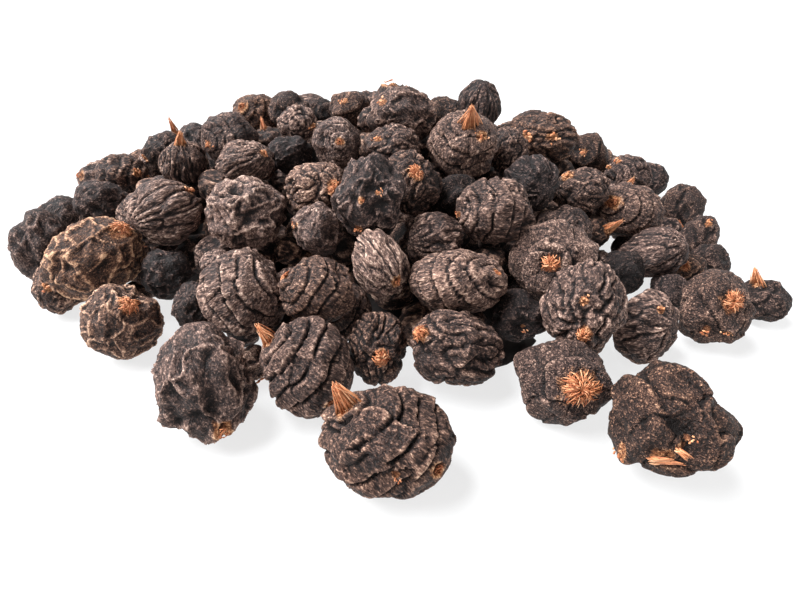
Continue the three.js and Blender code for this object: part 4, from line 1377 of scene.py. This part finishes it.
def core_part(nuts):
    """A low mound well inside the nuts, so that no light comes through the heap; its near-black colour
    is painted shade.
    """
    middles = stack(nuts, "middle")[:, :2] - ORIGIN_ON_TABLE[:2]
    bearing = np.arctan2(middles[:, 1], middles[:, 0])
    far = np.linalg.norm(middles, axis=1)
    blank = BLANKS[HIDDEN_CUTS]
    points = blank["points"]
    angle = np.arctan2(points[:, 1], points[:, 0])
    off = angle[:, None] - bearing
    off = np.abs(np.arctan2(np.sin(off), np.cos(off)))
    reach = np.max(np.where(off < CORE["window"], far * np.cos(off), 0), axis=1) - CORE["inset"]
    share = np.hypot(points[:, 0], points[:, 1])
    outward = np.stack([np.cos(angle), np.sin(angle)], axis=1)
    spot = ORIGIN_ON_TABLE[:2] + (reach * share)[:, None] * outward
    lift = np.array([heap_lift(x, y) for x, y in spot]) - CORE["sunk"]
    lift += CORE["lumps"] * noise(points * CORE["lump_scale"], CORE["lump_seed"])
    top = np.maximum(CORE["least"], lift) * np.sqrt(np.clip(points[:, 2], 0, 1))
    placed = np.column_stack([spot, np.where(points[:, 2] > 0, top, 0)])
    return dict(points=placed, quads=blank["quads"], wear={})


# ---- everything together


def laid_nuts():
    """The nuts of the heap in their places, and the small ones in the gaps under them."""
    shown = shown_nuts()
    settle(shown)
    nuts = list(shown)
    for layer in HIDDEN_LAYERS:
        nuts += hidden_nuts(layer, shown, nuts)
    settle(nuts)
    under = deep_nuts(nuts, shown)
    for index, nut in enumerate(nuts + under):
        dress(nut, index)
    return nuts, under


def heap_pieces(nuts, under):
    """One piece for each form of nut, then the small nuts, the husk and the core."""
    skins = {form: skin_material(form + "_skin", **look) for form, look in SKIN_LOOKS.items()}
    pieces = []
    for form, skin in skins.items():
        parts = [nut_part(nut) for nut in nuts if nut["form"] == form]
        pieces.append(joined_piece(form + "_nuts", parts, skin))
    parts = [nut_part(nut) for nut in under]
    pieces.append(joined_piece("deep_nuts", parts, skins["crumpled"]))
    husk = [part for nut in nuts for part in husk_of(nut)]
    pieces.append(joined_piece("husk_tufts", husk, husk_material()))
    pieces.append(joined_piece("heap_core", [core_part(nuts)], core_material()))
    return pieces


pieces = heap_pieces(*laid_nuts())
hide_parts(NODE)

# ---- floor, light and camera

# Lengths are in metres here, the window's angle in degrees and the camera's sensor in mm.
FLOOR = dict(sides=64, radius=4, rim=3, colour=(0.2, 0.2, 0.2, 1), roughness=0.6, glow=0.75)
ROOM = dict(colour=(1.0, 0.975, 0.95, 1), strength=0.15)
WINDOW = dict(colour=(0.96, 0.98, 1.0), strength=14.0, angle=55, side=(-0.66, 0.08, 0.75))
CAMERA = dict(sensor=36, nearest=0.005)


def white_floor():
    """A flat pale floor whose far edge is turned up, so that no view sees past it."""
    bpy.ops.mesh.primitive_circle_add(vertices=FLOOR["sides"], radius=FLOOR["radius"], fill_type="NGON")
    floor = bpy.context.object
    bpy.ops.object.mode_set(mode="EDIT")
    bpy.ops.mesh.select_all(action="SELECT")
    bpy.ops.mesh.extrude_edges_move(TRANSFORM_OT_translate={"value": (0, 0, FLOOR["rim"])})
    bpy.ops.object.mode_set(mode="OBJECT")
    floor.name = "floor"
    material, tree = node_tree("white_table")
    shader = tree.nodes["Principled BSDF"]
    shader.inputs["Base Color"].default_value = FLOOR["colour"]
    shader.inputs["Roughness"].default_value = FLOOR["roughness"]
    shader.inputs["Emission Color"].default_value = (1, 1, 1, 1)
    shader.inputs["Emission Strength"].default_value = FLOOR["glow"]
    floor.data.materials.append(material)


def studio():
    """Weak light all round and one broad soft window at the left."""
    world = bpy.data.worlds.new("studio")
    world.use_nodes = True
    background = world.node_tree.nodes["Background"]
    background.inputs["Color"].default_value = ROOM["colour"]
    background.inputs["Strength"].default_value = ROOM["strength"]
    bpy.context.scene.world = world
    window = bpy.data.lights.new("window", "SUN")
    window.energy = WINDOW["strength"]
    window.angle = math.radians(WINDOW["angle"])
    window.color = WINDOW["colour"]
    lamp = bpy.data.objects.new("window", window)
    lamp.rotation_mode = "QUATERNION"
    lamp.rotation_quaternion = Vector(WINDOW["side"]).to_track_quat("Z", "Y")
    bpy.context.scene.collection.objects.link(lamp)
    bpy.context.scene.view_settings.view_transform = "Standard"


def picture_camera():
    camera = bpy.data.cameras.new("picture_camera")
    camera.sensor_width = CAMERA["sensor"]
    camera.lens = camera.sensor_width * PICTURE["distance"] / PICTURE["width"]
    camera.clip_start = CAMERA["nearest"]
    holder = bpy.data.objects.new("picture_camera", camera)
    holder.location = (EYE - ORIGIN_ON_TABLE) * MM
    holder.rotation_euler = (math.pi / 2 - LOOK_DOWN, 0, 0)
    bpy.context.scene.collection.objects.link(holder)
    bpy.context.scene.camera = holder


white_floor()
studio()
picture_camera()
